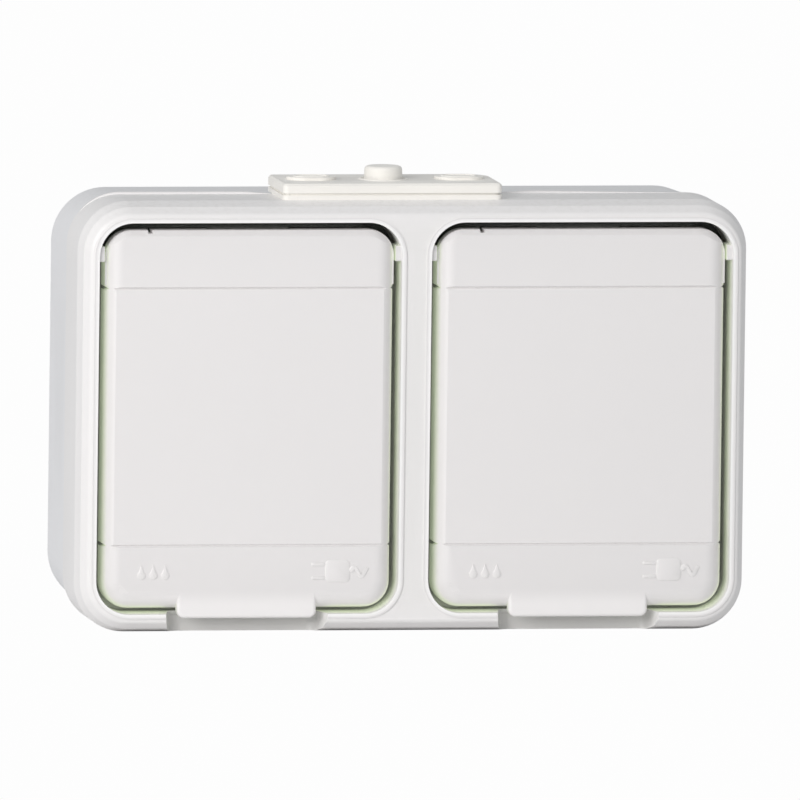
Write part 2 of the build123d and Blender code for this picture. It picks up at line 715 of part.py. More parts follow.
def contact_carrier(side):
    """Insulating block with a chamber for each contact and its terminal."""
    x = side * GANG_X
    body = slab(x, 0, CARRIER_W, CARRIER_H, 3.0, CARRIER_BACK_Y, CUP_BACK_Y)
    for level in (-1, 1):
        ear_x = x - level * EAR_X
        ear_back = CARRIER_BACK_Y
        ear = rod_y(ear_x, level * EAR_Z, EAR_R, ear_back, ear_back - EAR_T)
        ear += block(
            ear_x - EAR_R,
            ear_x + EAR_R,
            ear_back,
            ear_back - EAR_T,
            level * (CARRIER_H / 2.0 - 3.0),
            level * EAR_Z,
        )
        body += ear
        body -= rod_y(
            ear_x, level * EAR_Z, SMALL_SHANK_R + 0.2, ear_back + 1, ear_back - EAR_T - 1
        )
    chamber_front = CUP_BACK_Y + CARRIER_FRONT_T
    half = CHAMBER_H / 2.0
    for way in (-1, 1):
        pin_x = x + way * PIN_PITCH / 2.0
        a = x + way * 5.0
        b = x + way * (CARRIER_W / 2.0 - 0.8)
        body -= block(a, b, CARRIER_BACK_Y + 1.0, chamber_front, -half, half)
        c = x + way * (CLAMP_X - CLAMP_W / 2.0 - 0.3)
        body -= block(c, b, chamber_front + 1.0, CUP_BACK_Y - 1.0, -half, half)
        body -= rod_y(pin_x, 0, PIN_HOLE_R, chamber_front + 1.0, CUP_BACK_Y - 1.0)
        body -= rod_z(x + way * CLAMP_X, WIRE_Y, WIRE_R + 0.3, -CARRIER_H, CARRIER_H)
        level = -way
        foot_half = SLEEVE_R_OUT + 0.4
        body -= block(
            pin_x - foot_half,
            pin_x + foot_half,
            CARRIER_BACK_Y + 1.0,
            CARRIER_BACK_Y - FOOT_T - 0.3,
            0,
            level * (FOOT_REACH + 0.3),
        )
    groove_y = CUP_BACK_Y + 1.9
    body -= block(
        x - STRAP_W / 2.0 - 0.2,
        x + STRAP_W / 2.0 + 0.2,
        groove_y,
        CUP_BACK_Y - 1.0,
        -CARRIER_H,
        CARRIER_H,
    )
    return body - rod_y(x, 0, SMALL_SHANK_R + SNUG, -11.0, CUP_BACK_Y - 1.0)


def pin_contact(side, way):
    """One slit sleeve for a plug pin, with a terminal arm and a foot for the link."""
    x = side * GANG_X + way * PIN_PITCH / 2.0
    front = CUP_BACK_Y + CARRIER_FRONT_T
    body = rod_y(x, 0, SLEEVE_R_OUT, CARRIER_BACK_Y, front)
    level = -way
    foot = block(
        x - SLEEVE_R_OUT,
        x + SLEEVE_R_OUT,
        CARRIER_BACK_Y,
        CARRIER_BACK_Y - FOOT_T,
        0,
        level * FOOT_REACH,
    )
    body += foot
    arm_end = side * GANG_X + way * (CLAMP_X + CLAMP_W / 2.0 - 0.3)
    arm = block(
        x + way * (SLEEVE_R_IN + 0.3),
        arm_end,
        CLAMP_BACK_Y,
        CLAMP_BACK_Y + 1.0,
        -3.0,
        3.0,
    )
    body += arm
    body -= rod_y(x, 0, SLEEVE_R_IN, 0, front - 1.0)
    slit = block(
        x - way * (SLEEVE_R_IN - 1.0),
        x - way * (SLEEVE_R_OUT + 1.0),
        CARRIER_BACK_Y - FOOT_T - 0.5,
        front - 1.0,
        -SLEEVE_SLIT / 2.0,
        SLEEVE_SLIT / 2.0,
    )
    return body - slit


def earth_strap(side):
    """Earth strap with two bowed clips that reach into the recess."""
    x = side * GANG_X
    back = CUP_BACK_Y + 1.9
    front = back - STRAP_T
    reach = CLIP_Z + 0.5
    body = block(x - CLIP_W / 2.0, x + CLIP_W / 2.0, back, front, -reach, reach)
    middle = [
        (back, CLIP_Z),
        (RECESS_FLOOR_Y - 1.0, CLIP_Z),
        (-33.5, CLIP_Z - 1.5),
        (-39.0, CLIP_Z - 0.5),
        (-41.2, CLIP_Z + 0.7),
    ]
    t = CLIP_T / 2.0
    for way in (-1, 1):
        ahead = [(y, way * (z - t)) for y, z in middle]
        behind = [(y, way * (z + t)) for y, z in reversed(middle)]
        clip = side_prism(ahead + behind, x - CLIP_W / 2.0, x + CLIP_W / 2.0)
        body += clip
    return body - rod_y(x, 0, SMALL_SHANK_R + 0.3, back + 1.0, front - 1.0)


def terminal_clamps(side):
    """Two clamp blocks, each with a wire hole and a screw hole."""
    blocks = []
    for way in (-1, 1):
        x = side * GANG_X + way * CLAMP_X
        half = CLAMP_W / 2.0
        body = block(
            x - half, x + half, CLAMP_BACK_Y, CLAMP_FRONT_Y, -CLAMP_H / 2.0, CLAMP_H / 2.0
        )
        body -= rod_z(x, WIRE_Y, WIRE_R, -CLAMP_H, CLAMP_H)
        body -= rod_y(x, 0, SMALL_SHANK_R + SNUG, WIRE_Y, CLAMP_FRONT_Y - 1.0)
        blocks.append(body)
    return Compound(children=[b.solids()[0] for b in blocks])


def screw(x, z, seat_y, length, head_r, head_t, shank_r):
    """A screw driven from the front: its head stands in front of seat_y."""
    body = rod_y(x, z, head_r, seat_y, seat_y - head_t)
    body = chamfer(body.faces().sort_by(Axis.Y)[0].edges(), 0.3)
    body += rod_y(x, z, shank_r, seat_y + length, seat_y - 0.2)
    slot_front = seat_y - head_t - 1.0
    slot_back = seat_y - head_t * 0.45
    return body - block(x - 0.4, x + 0.4, slot_back, slot_front, z - 2.2, z + 2.2)


def terminal_screws(side):
    """The two clamp screws of one socket."""
    found = []
    for way in (-1, 1):
        x = side * GANG_X + way * CLAMP_X
        found.append(
            screw(x, 0, CLAMP_FRONT_Y, 4.6, SMALL_HEAD_R, SMALL_HEAD_T, SMALL_SHANK_R)
        )
    return Compound(children=[s.solids()[0] for s in found])


def insert_screws(side):
    """The two screws that hold one carrier to the back housing."""
    found = []
    seat = CARRIER_BACK_Y - EAR_T
    for level in (-1, 1):
        x = side * GANG_X - level * EAR_X
        z = level * EAR_Z
        found.append(screw(x, z, seat, 6.4, SMALL_HEAD_R, SMALL_HEAD_T, SMALL_SHANK_R))
    return Compound(children=[s.solids()[0] for s in found])


def centre_screw(side):
    """The screw that draws the recess on to its carrier."""
    seat = RECESS_FLOOR_Y + 1.1
    return screw(side * GANG_X, 0, seat, 12.0, SMALL_HEAD_R, 1.1, SMALL_SHANK_R)


def cover_screws():
    """The four screws that close the frame on the back housing."""
    found = []
    for side in (-1, 1):
        for level in (-1, 1):
            found.append(
                screw(
                    side * COVER_X,
                    level * COVER_Z,
                    SEAT_Y,
                    COVER_LENGTH,
                    COVER_HEAD_R,
                    COVER_HEAD_T,
                    COVER_SHANK_R,
                )
            )
    return Compound(children=[s.solids()[0] for s in found])


def link(way):
    """A bar behind the carriers that joins the two contacts of one pole."""
    level = -way
    x0 = -GANG_X + way * PIN_PITCH / 2.0 - SLEEVE_R_OUT
    x1 = GANG_X + way * PIN_PITCH / 2.0 + SLEEVE_R_OUT
    z0 = level * LINK_Z
    z1 = level * (LINK_Z + LINK_H)
    return block(x0, x1, CARRIER_BACK_Y + LINK_T, CARRIER_BACK_Y, z0, z1)


def earth_link():
    """A bar that joins the two earth straps and carries the earth terminal."""
    back = CUP_BACK_Y + 1.9
    return block(
        -GANG_X - 2.4, GANG_X + 2.4, back + LINK_T, back, -CLIP_Z, -CARRIER_H / 2.0 - 1.8
    )


def earth_terminal():
    """The clamp block of the earth conductor."""
    front = CUP_BACK_Y + 1.9 + LINK_T
    body = block(-4.0, 4.0, front + 8.0, front, -20.2, -13.0)
    body -= rod_x(front + 4.6, -16.6, WIRE_R, -5.0, 5.0)
    return body - rod_z(0, front + 4.6, SMALL_SHANK_R + SNUG, -16.6, -12.0)


def earth_screw():
    """The screw of the earth terminal, driven from above."""
    y = CUP_BACK_Y + 1.9 + LINK_T + 4.6
    head = rod_z(0, y, SMALL_HEAD_R, -13.0, -13.0 + SMALL_HEAD_T)
    head += rod_z(0, y, SMALL_SHANK_R, -16.0, -12.8)
    return head - block(-0.4, 0.4, y - 2.2, y + 2.2, -12.2, -10.0)


save("base_housing", base_housing())
save("front_frame", front_frame())
save("housing_seal", housing_seal())
save("cable_entry_seal", cable_entry())
save("cover_screws", cover_screws())
save("line_link", link(-1))
save("neutral_link", link(1))
save("earth_link", earth_link())
save("earth_terminal", earth_terminal())
save("earth_terminal_screw", earth_screw())
for word, hand in (("left", -1), ("right", 1)):
    save("socket_cup_" + word, socket_cup(hand))
    save("contact_carrier_" + word, contact_carrier(hand))
    save("line_contact_" + word, pin_contact(hand, -1))
    save("neutral_contact_" + word, pin_contact(hand, 1))
    save("earth_strap_" + word, earth_strap(hand))
    save("terminal_clamps_" + word, terminal_clamps(hand))
    save("terminal_screws_" + word, terminal_screws(hand))
    save("insert_screws_" + word, insert_screws(hand))
    save("centre_screw_" + word, centre_screw(hand))
    save("lid_" + word, lid(hand))
    save("lid_seal_" + word, lid_seal(hand))
    save("hinge_pin_" + word, hinge_pin(hand))
    save("lid_spring_" + word, lid_spring(hand))
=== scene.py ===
"""Looks of a splash-proof double wall socket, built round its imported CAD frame."""
import logging
import math
from dataclasses import dataclass, field
from enum import Enum
from typing import Callable, Iterable, Sequence

import bmesh
import bpy
from mathutils import Matrix, Vector


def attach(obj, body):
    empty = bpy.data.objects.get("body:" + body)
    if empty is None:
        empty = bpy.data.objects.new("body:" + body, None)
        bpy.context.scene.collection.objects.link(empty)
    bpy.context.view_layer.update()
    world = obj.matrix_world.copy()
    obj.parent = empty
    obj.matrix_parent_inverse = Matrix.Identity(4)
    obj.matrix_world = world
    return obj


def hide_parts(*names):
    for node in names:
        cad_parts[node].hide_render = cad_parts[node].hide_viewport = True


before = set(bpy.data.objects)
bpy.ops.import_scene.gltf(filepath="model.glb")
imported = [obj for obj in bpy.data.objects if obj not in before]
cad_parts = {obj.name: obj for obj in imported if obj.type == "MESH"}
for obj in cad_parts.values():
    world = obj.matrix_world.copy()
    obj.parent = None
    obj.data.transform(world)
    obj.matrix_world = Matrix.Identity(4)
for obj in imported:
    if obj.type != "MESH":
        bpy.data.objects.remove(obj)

log = logging.getLogger("wall_socket")
MM = 0.001
SHARP_DEG = 35.0
CAD_SHARP_DEG = 28.0
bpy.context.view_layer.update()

Colour = tuple[float, float, float]
Point = tuple[float, float, float]
Flat = tuple[float, float]


class Side(Enum):
    """The two sockets of the unit, seen from the front."""

    LEFT = -1
    RIGHT = 1

    @property
    def word(self) -> str:
        """The side's word in the names of nodes and pieces."""
        return self.name.lower()


@dataclass(frozen=True)
class Layout:
    """Places in the CAD frame that the added pieces sit on, in millimetres."""

    gang_x: float = 34.95
    lid_face_y: float = -50.0
    hinge_y: float = -45.0
    hinge_z: float = 34.3
    floor_y: float = -38.0
    recess_floor_y: float = -25.5
    entry_x: float = -4.2
    entry_y: float = -33.3
    nub_x: float = -4.6
    entry_top_z: float = 48.4
    bottom_z: float = -45.0
    lid_top_z: float = 39.3
    parting_y: float = -29.0


PLACE = Layout()


@dataclass(frozen=True)
class MaskSpans:
    """Spans over which the masks come in: metres along an axis, or shares from 0 to 1."""

    edge: Flat = (0.505, 0.56)
    hollow: Flat = (0.495, 0.44)
    level: Flat = (0.55, 1.0)
    fleck: Flat = (0.42, 0.7)
    narrow: Flat = (0.42, 0.85)
    near: Flat = (0.1, 0.35)
    upward: Flat = (0.8, 0.95)
    below_face_y: Flat = (-0.0495, -0.0488)
    lid_back_y: Flat = (-0.0465, -0.0445)
    floor_y: Flat = (-0.046, -0.041)
    ear_y: Flat = (-0.0488, -0.0492)
    below_top_z: Flat = (0.0370, 0.0355)
    top_z: Flat = (0.0335, 0.0355)
    sill_z: Flat = (-0.0375, -0.0392)
    forward: Flat = (-0.6, -0.9)
    crest: Flat = (0.0006, 0.0002)
    inside: Flat = (0.0002, -0.0002)
    foot: Flat = (0.0002, 0.00005)
    foot_away: float = 0.00085
    stain: Flat = (0.48, 0.72)


SPANS = MaskSpans()
BLACK: Colour = (0.0, 0.0, 0.0)
WHITE: Colour = (1.0, 1.0, 1.0)


class NodeBook:
    """Writes the nodes of one node tree and joins their sockets."""

    def __init__(self, tree: bpy.types.NodeTree) -> None:
        """Keep the tree that the nodes go into.

        Args:
            tree: The node tree of a material, a world or a group.
        """
        self.tree = tree

    def add(self, kind: str, **settings: object) -> bpy.types.Node:
        """Add a node and set its properties.

        Args:
            kind: The node's type name in Blender.
            settings: Properties of the node, by name.

        Returns:
            The new node.
        """
        node = self.tree.nodes.new(kind)
        for name, value in settings.items():
            setattr(node, name, value)
        return node

    def join(self, source: bpy.types.NodeSocket, target: bpy.types.NodeSocket) -> None:
        """Link one output to one input."""
        self.tree.links.new(source, target)

    def feed(self, target: bpy.types.NodeSocket, value: object) -> None:
        """Link a socket into an input, or set the input's own value.

        Args:
            target: The input socket.
            value: An output socket, or a number or colour for the input.
        """
        if isinstance(value, bpy.types.NodeSocket):
            self.join(value, target)
        else:
            target.default_value = value

    def give(self, node: bpy.types.Node, **values: object) -> None:
        """Feed several inputs of a node.

        Args:
            node: The node.
            values: What each input gets, by its name with underscores for spaces.
        """
        for name, value in values.items():
            self.feed(node.inputs[name.replace("_", " ")], value)

    def sum_of(self, operation: str, *terms: object, clamp: bool = False) -> bpy.types.NodeSocket:
        """One Math node.

        Args:
            operation: The node's operation.
            terms: Its inputs, as sockets or numbers.
            clamp: Whether the result is kept between 0 and 1.

        Returns:
            The node's output.
        """
        node = self.add("ShaderNodeMath", operation=operation, use_clamp=clamp)
        for slot, term in zip(node.inputs, terms):
            self.feed(slot, term)
        return node.outputs[0]

    def product(self, *terms: object, clamp: bool = False) -> bpy.types.NodeSocket:
        """The product of two or more terms.

        Args:
            terms: Sockets or numbers.
            clamp: Whether the result is kept between 0 and 1.

        Returns:
            The product.
        """
        result = terms[0]
        for term in terms[1:]:
            result = self.sum_of("MULTIPLY", result, term, clamp=clamp)
        return result

    def apart(self, vector: bpy.types.NodeSocket) -> bpy.types.bpy_prop_collection:
        """The X, Y and Z outputs of a vector."""
        node = self.add("ShaderNodeSeparateXYZ")
        self.give(node, Vector=vector)
        return node.outputs

    def between(self, value: object, low: object, high: object) -> bpy.types.NodeSocket:
        """A smooth rise from 0 to 1 as a value goes through a span.

        Args:
            value: The socket to map.
            low: Start of the span, where the result is 0.
            high: End of the span, where the result is 1.

        Returns:
            The mapped value.
        """
        node = self.add("ShaderNodeMapRange", interpolation_type="SMOOTHSTEP", clamp=True)
        self.give(node, Value=value, From_Min=low, From_Max=high)
        return node.outputs["Result"]

    def blend(self, share: object, first: object, second: object, way: str = "MIX") -> bpy.types.NodeSocket:
        """A mix of two colours.

        Args:
            share: How much of the second colour is in the mix.
            first: The first colour, as a socket or four numbers.
            second: The second colour.
            way: The node's blend type.

        Returns:
            The mixed colour.
        """
        node = self.add("ShaderNodeMix", data_type="RGBA", blend_type=way)
        self.feed(node.inputs["Factor"], share)
        colours = [slot for slot in node.inputs if slot.type == "RGBA"]
        self.feed(colours[0], first)
        self.feed(colours[1], second)
        return [slot for slot in node.outputs if slot.type == "RGBA"][0]


def opaque(colour: Colour) -> tuple[float, float, float, float]:
    """A colour with full alpha."""
    return (colour[0], colour[1], colour[2], 1.0)


def scaled(colour: Colour, gain: float) -> tuple[float, float, float, float]:
    """A colour made lighter or darker, with full alpha."""
    return opaque(tuple(min(1.0, part * gain) for part in colour))


class Effects:
    """The shader groups that several finishes share, each built once."""

    def __init__(self) -> None:
        """Build the groups."""
        self.skin = self._moulded_skin()
        self.edge = self._edge_light()
        self.dust = self._settled_dust()
        self.grain = self._metal_grain()
        self.gap = self._gap_shade()
        self.rim = self._rim_lines()
        self.lower_lit = self._lower_end_light()

    @staticmethod
    def _open(
        name: str, inputs: Sequence[tuple[str, float]], outputs: Sequence[str]
    ) -> tuple[bpy.types.NodeTree, NodeBook, bpy.types.Node, bpy.types.Node]:
        """Start a shader group.

        Args:
            name: The group's name.
            inputs: Names and standing values of its inputs.
            outputs: Names of its outputs.

        Returns:
            The group, its node book, its input node and its output node.
        """
        tree = bpy.data.node_groups.new(name, "ShaderNodeTree")
        for label, value in inputs:
            made = tree.interface.new_socket(label, in_out="INPUT", socket_type="NodeSocketFloat")
            made.default_value = value
        for label in outputs:
            tree.interface.new_socket(label, in_out="OUTPUT", socket_type="NodeSocketFloat")
        book = NodeBook(tree)
        return tree, book, book.add("NodeGroupInput"), book.add("NodeGroupOutput")

    def _moulded_skin(self) -> bpy.types.NodeTree:
        """Cloudy tone, fine grain and polish of an injection-moulded surface.

        Returns:
            A group with the outputs Tone, Polish and Height.
        """
        tree, book, start, end = self._open(
            "moulded_skin",
            (("Cloud Size", 60.0), ("Grain Size", 2600.0), ("Cloud", 1.0), ("Grain", 1.0)),
            ("Tone", "Polish", "Height"),
        )
        place = book.add("ShaderNodeNewGeometry").outputs["Position"]
        cloud = book.add("ShaderNodeTexNoise")
        grain = book.add("ShaderNodeTexNoise")
        smear = book.add("ShaderNodeTexNoise")
        book.give(cloud, Vector=place, Scale=start.outputs["Cloud Size"], Detail=3.0)
        book.give(grain, Vector=place, Scale=start.outputs["Grain Size"], Detail=2.0)
        book.give(smear, Vector=place, Scale=210.0, Detail=4.0, Roughness=0.6)
        tone = book.sum_of("SUBTRACT", cloud.outputs["Fac"], 0.5)
        tone = book.product(tone, start.outputs["Cloud"])
        polish = book.sum_of("SUBTRACT", smear.outputs["Fac"], 0.5)
        height = book.product(grain.outputs["Fac"], start.outputs["Grain"])
        book.give(end, Tone=tone, Polish=polish, Height=height)
        return tree

    def _edge_light(self) -> bpy.types.NodeTree:
        """Masks from pointiness: outer edges, where a painted highlight goes, and hollows, where painted
        shade goes.

        Returns:
            A group with the outputs Edge and Hollow.
        """
        tree, book, start, end = self._open(
            "edge_light", (("Sharpness", 1.0),), ("Edge", "Hollow")
        )
        shape = book.add("ShaderNodeNewGeometry").outputs["Pointiness"]
        edge = book.between(shape, *SPANS.edge)
        hollow = book.between(shape, *SPANS.hollow)
        edge = book.product(edge, start.outputs["Sharpness"], clamp=True)
        hollow = book.product(hollow, start.outputs["Sharpness"], clamp=True)
        book.give(end, Edge=edge, Hollow=hollow)
        return tree

    def _settled_dust(self) -> bpy.types.NodeTree:
        """Fine dust on faces that look up.

        Returns:
            A group with the output Dust.
        """
        tree, book, start, end = self._open("settled_dust", (("Amount", 0.2),), ("Dust",))
        geometry = book.add("ShaderNodeNewGeometry")
        facing = book.between(book.apart(geometry.outputs["Normal"])["Z"], *SPANS.level)
        speck = book.add("ShaderNodeTexNoise")
        book.give(speck, Vector=geometry.outputs["Position"], Scale=900.0, Detail=5.0)
        fleck = book.between(speck.outputs["Fac"], *SPANS.fleck)
        dust = book.product(facing, fleck, start.outputs["Amount"], clamp=True)
        book.give(end, Dust=dust)
        return tree

    def _metal_grain(self) -> bpy.types.NodeTree:
        """Fine drawn lines and stains of stamped or plated metal.

        Returns:
            A group with the outputs Line and Stain.
        """
        tree, book, start, end = self._open(
            "metal_grain", (("Line Size", 900.0), ("Stretch", 14.0)), ("Line", "Stain")
        )
        place = book.add("ShaderNodeNewGeometry").outputs["Position"]
        parts = book.apart(place)
        whole = book.add("ShaderNodeCombineXYZ")
        drawn = book.product(parts["X"], start.outputs["Stretch"])
        book.give(whole, X=drawn, Y=parts["Y"], Z=parts["Z"])
        line = book.add("ShaderNodeTexNoise")
        stain = book.add("ShaderNodeTexNoise")
        size = start.outputs["Line Size"]
        book.give(line, Vector=whole.outputs["Vector"], Scale=size, Detail=3.0)
        book.give(stain, Vector=place, Scale=320.0, Detail=3.0)
        book.give(end, Line=line.outputs["Fac"], Stain=stain.outputs["Fac"])
        return tree

    def _gap_shade(self) -> bpy.types.NodeTree:
        """Masks of narrow gaps between mouldings, where tint, shade and glow are painted.

        Returns:
            A group with the outputs Gap, all narrow places, which get a painted tint and glow, Slot, the
            ones painted dark as shade, and Sill, the ledge below a lid, which gets a brighter painted glow.
        """
        tree, book, start, end = self._open(
            "gap_shade",
            (("Reach", 0.005), ("Depth", 1.0), ("Upward", 0.0), ("Inward", 0.0)),
            ("Gap", "Slot", "Sill"),
        )
        shut = book.add("ShaderNodeAmbientOcclusion", samples=8)
        book.give(shut, Distance=start.outputs["Reach"])
        closed = book.sum_of("SUBTRACT", 1.0, shut.outputs["AO"])
        geometry = book.add("ShaderNodeNewGeometry")
        facing = book.apart(geometry.outputs["Normal"])
        place = book.apart(geometry.outputs["Position"])
        below = book.between(place["Y"], *SPANS.below_face_y)
        under = book.between(place["Z"], *SPANS.below_top_z)
        gap = book.product(book.between(closed, *SPANS.narrow), below, under)
        gap = book.product(gap, start.outputs["Depth"], clamp=True)
        high = book.between(place["Z"], *SPANS.top_z)
        up = book.sum_of("MAXIMUM", book.between(facing["Z"], *SPANS.upward), high)
        back = book.between(place["Y"], *SPANS.lid_back_y)
        up = book.product(up, back, start.outputs["Upward"])
        deep = book.between(place["Y"], *SPANS.floor_y)
        deep = book.product(deep, high, start.outputs["Inward"])
        near = book.between(closed, *SPANS.near)
        slot = book.product(near, book.sum_of("MAXIMUM", up, deep), clamp=True)
        low = book.between(place["Z"], *SPANS.sill_z)
        sill = book.product(low, start.outputs["Inward"])
        book.give(end, Gap=gap, Slot=slot, Sill=sill)
        return tree

    def _lower_end_light(self) -> bpy.types.NodeTree:
        """Mask of the lower end of a shut lid, where painted light makes it lighter.

        Returns:
            A group with one output, the mask.
        """
        tree, book, start, end = self._open(
            "lower_end_light", (("Start", -0.0355), ("End", -0.0395), ("Share", 0.0)), ("Rubbed",)
        )
        place = book.apart(book.add("ShaderNodeNewGeometry").outputs["Position"])
        rubbed = book.between(place["Z"], start.outputs["Start"], start.outputs["End"])
        rubbed = book.product(rubbed, start.outputs["Share"], clamp=True)
        book.give(end, Rubbed=rubbed)
        return tree

    def _rim_lines(self) -> bpy.types.NodeTree:
        """Painted highlight line on the edge of each opening, and painted shade at the rim's foot.

        Returns:
            A group with the outputs Crest, Foot and Inside.
        """
        tree, book, start, end = self._open(
            "rim_lines",
            (("Centre", 0.03495), ("Half Width", 0.0318), ("Half Height", 0.04085), ("Corner", 0.007)),
            ("Crest", "Foot", "Inside"),
        )
        geometry = book.add("ShaderNodeNewGeometry")
        place = book.apart(geometry.outputs["Position"])
        facing = book.apart(geometry.outputs["Normal"])
        corner = start.outputs["Corner"]
        across = book.sum_of("ABSOLUTE", place["X"])
        across = book.sum_of("ABSOLUTE", book.sum_of("SUBTRACT", across, start.outputs["Centre"]))
        reach = []
        for value, half in (
            (across, start.outputs["Half Width"]),
            (book.sum_of("ABSOLUTE", place["Z"]), start.outputs["Half Height"]),
        ):
            beyond = book.sum_of("SUBTRACT", value, book.sum_of("SUBTRACT", half, corner))
            beyond = book.sum_of("MAXIMUM", beyond, 0.0)
            reach.append(book.product(beyond, beyond))
        away = book.sum_of("SQRT", book.sum_of("ADD", *reach))
        away = book.sum_of("SUBTRACT", away, corner)
        front = book.between(facing["Y"], *SPANS.forward)
        crest = book.between(away, *SPANS.crest)
        foot = book.sum_of("ABSOLUTE", book.sum_of("SUBTRACT", away, SPANS.foot_away))
        foot = book.between(foot, *SPANS.foot)
        ear = book.between(place["Y"], *SPANS.ear_y)
        inside = book.between(away, *SPANS.inside)
        crest = book.sum_of("SUBTRACT", crest, inside, clamp=True)
        foot = book.sum_of("MAXIMUM", foot, book.product(inside, ear))
        book.give(end, Crest=book.product(crest, front), Foot=book.product(foot, front), Inside=inside)
        return tree


EFFECTS = Effects()


def place_group(book: NodeBook, tree: bpy.types.NodeTree, **values: float) -> bpy.types.Node:
    """Put a shared group into a material with its own values.

    Args:
        book: The material's node book.
        tree: The shared group.
        values: Its inputs, by name with underscores for spaces.

    Returns:
        The group node.
    """
    node = book.add("ShaderNodeGroup", node_tree=tree)
    book.give(node, **values)
    return node


def fresh_material(name: str) -> tuple[bpy.types.Material, NodeBook, bpy.types.Node]:
    """A new node material with one Principled shader.

    Args:
        name: The material's name.

    Returns:
        The material, its node book and the Principled shader.
    """
    made = bpy.data.materials.new(name)
    made.use_nodes = True
    made.node_tree.nodes.clear()
    book = NodeBook(made.node_tree)
    shader = book.add("ShaderNodeBsdfPrincipled")
    output = book.add("ShaderNodeOutputMaterial")
    book.join(shader.outputs["BSDF"], output.inputs["Surface"])
    return made, book, shader


def clouded(book: NodeBook, skin: bpy.types.Node, colour: Colour) -> bpy.types.NodeSocket:
    """A colour that drifts lighter and darker with the moulded skin.

    Args:
        book: The material's node book.
        skin: The placed skin group.
        colour: The even colour.

    Returns:
        The drifting colour.
    """
    tone = book.sum_of("ADD", skin.outputs["Tone"], 1.0)
    grey = book.add("ShaderNodeCombineColor")
    for slot in grey.inputs:
        book.join(tone, slot)
    return book.blend(1.0, opaque(colour), grey.outputs["Color"], "MULTIPLY")


def add_bump(
    book: NodeBook, shader: bpy.types.Node, height: bpy.types.NodeSocket, strength: float, depth: float
) -> None:
    """Give a shader a fine bump.

    Args:
        book: The material's node book.
        shader: The Principled shader.
        height: The height to follow.
        strength: The bump's strength.
        depth: The bump's depth, in metres.
    """
    bump = book.add("ShaderNodeBump")
    book.give(bump, Strength=strength, Distance=depth, Height=height)
    book.give(shader, Normal=bump.outputs["Normal"])


@dataclass(frozen=True)
class MouldedPlastic:
    """An injection-moulded plastic finish."""

    name: str
    colour: Colour
    roughness: float = 0.38
    cloud: float = 0.05
    grain: float = 1.0
    edge: float = 0.5
    dust: float = 0.12
    shade: Colour = (0.42, 0.44, 0.34)
    shade_share: float = 0.12
    gap: float = 0.0
    # Colours of the painted tint, painted shade and painted glow in narrow gaps.
    gap_colour: Colour = (0.89, 0.92, 0.79)
    slot_shade_colour: Colour = (0.02, 0.025, 0.018)
    gap_light: Colour = (0.078, 0.090, 0.069)
    sill_light: Colour = (0.26, 0.29, 0.215)
    upward: float = 0.0
    inward: float = 0.0
    rim_lines: bool = False
    # Share and colour of the painted light on the lid's lower end.
    rubbed: float = 0.0
    lower_light_colour: Colour = (0.93, 0.915, 0.91)
    crest_colour: Colour = (1.0, 1.0, 0.99)
    dust_colour: Colour = (0.55, 0.53, 0.49)
    edge_gain: float = 1.08
    foot_gain: float = 0.8
    foot_share: float = 0.5
    polish_share: float = 0.18
    dust_rough: float = 0.4
    bump: float = 0.06
    bump_depth: float = 0.00004

    def make(self) -> bpy.types.Material:
        """Build the material.

        Returns:
            The finished material.
        """
        made, book, shader = fresh_material(self.name)
        skin = place_group(book, EFFECTS.skin, Cloud=self.cloud, Grain=self.grain)
        rim = place_group(book, EFFECTS.edge, Sharpness=self.edge)
        dust = place_group(book, EFFECTS.dust, Amount=self.dust)
        colour = clouded(book, skin, self.colour)
        # Painted shade in hollows, then a painted highlight on outer edges.
        hollow = book.product(rim.outputs["Hollow"], self.shade_share)
        colour = book.blend(hollow, colour, opaque(self.shade))
        colour = book.blend(rim.outputs["Edge"], colour, scaled(self.colour, self.edge_gain))
        colour = book.blend(dust.outputs["Dust"], colour, opaque(self.dust_colour))
        if self.rubbed:
            # Painted light: the lid's lower end lighter towards the tab.
            lower_lit = place_group(book, EFFECTS.lower_lit, Share=self.rubbed)
            colour = book.blend(lower_lit.outputs["Rubbed"], colour, opaque(self.lower_light_colour))
        inside: object = 1.0
        if self.rim_lines:
            lines = place_group(book, EFFECTS.rim)
            inside = lines.outputs["Inside"]
            # Painted highlight on each opening's edge, and painted shade at the rim's foot.
            colour = book.blend(lines.outputs["Crest"], colour, opaque(self.crest_colour))
            foot = book.product(lines.outputs["Foot"], self.foot_share)
            colour = book.blend(foot, colour, scaled(self.colour, self.foot_gain))
        if self.gap:
            shut = place_group(
                book, EFFECTS.gap, Depth=self.gap, Upward=self.upward, Inward=self.inward
            )
            gap = book.product(shut.outputs["Gap"], inside)
            slot = book.product(shut.outputs["Slot"], inside)
            # Painted tint and shade in the gaps: narrow places pale olive, the slots above the lids dark.
            colour = book.blend(gap, colour, opaque(self.gap_colour))
            colour = book.blend(slot, colour, opaque(self.slot_shade_colour))
            # Painted glow in the gaps, standing in for light through the thin plastic.
            light = book.blend(shut.outputs["Sill"], opaque(self.gap_light), opaque(self.sill_light))
            light = book.blend(gap, opaque(BLACK), light)
            light = book.blend(slot, light, opaque(BLACK))
            book.give(shader, Emission_Color=light, Emission_Strength=1.0)
        rough = book.product(skin.outputs["Polish"], self.polish_share)
        rough = book.sum_of("ADD", rough, self.roughness)
        rough = book.sum_of("MULTIPLY_ADD", dust.outputs["Dust"], self.dust_rough, rough)
        book.give(shader, Base_Color=colour, Roughness=rough, IOR=1.5, Specular_IOR_Level=0.5)
        add_bump(book, shader, skin.outputs["Height"], self.bump, self.bump_depth)
        return made


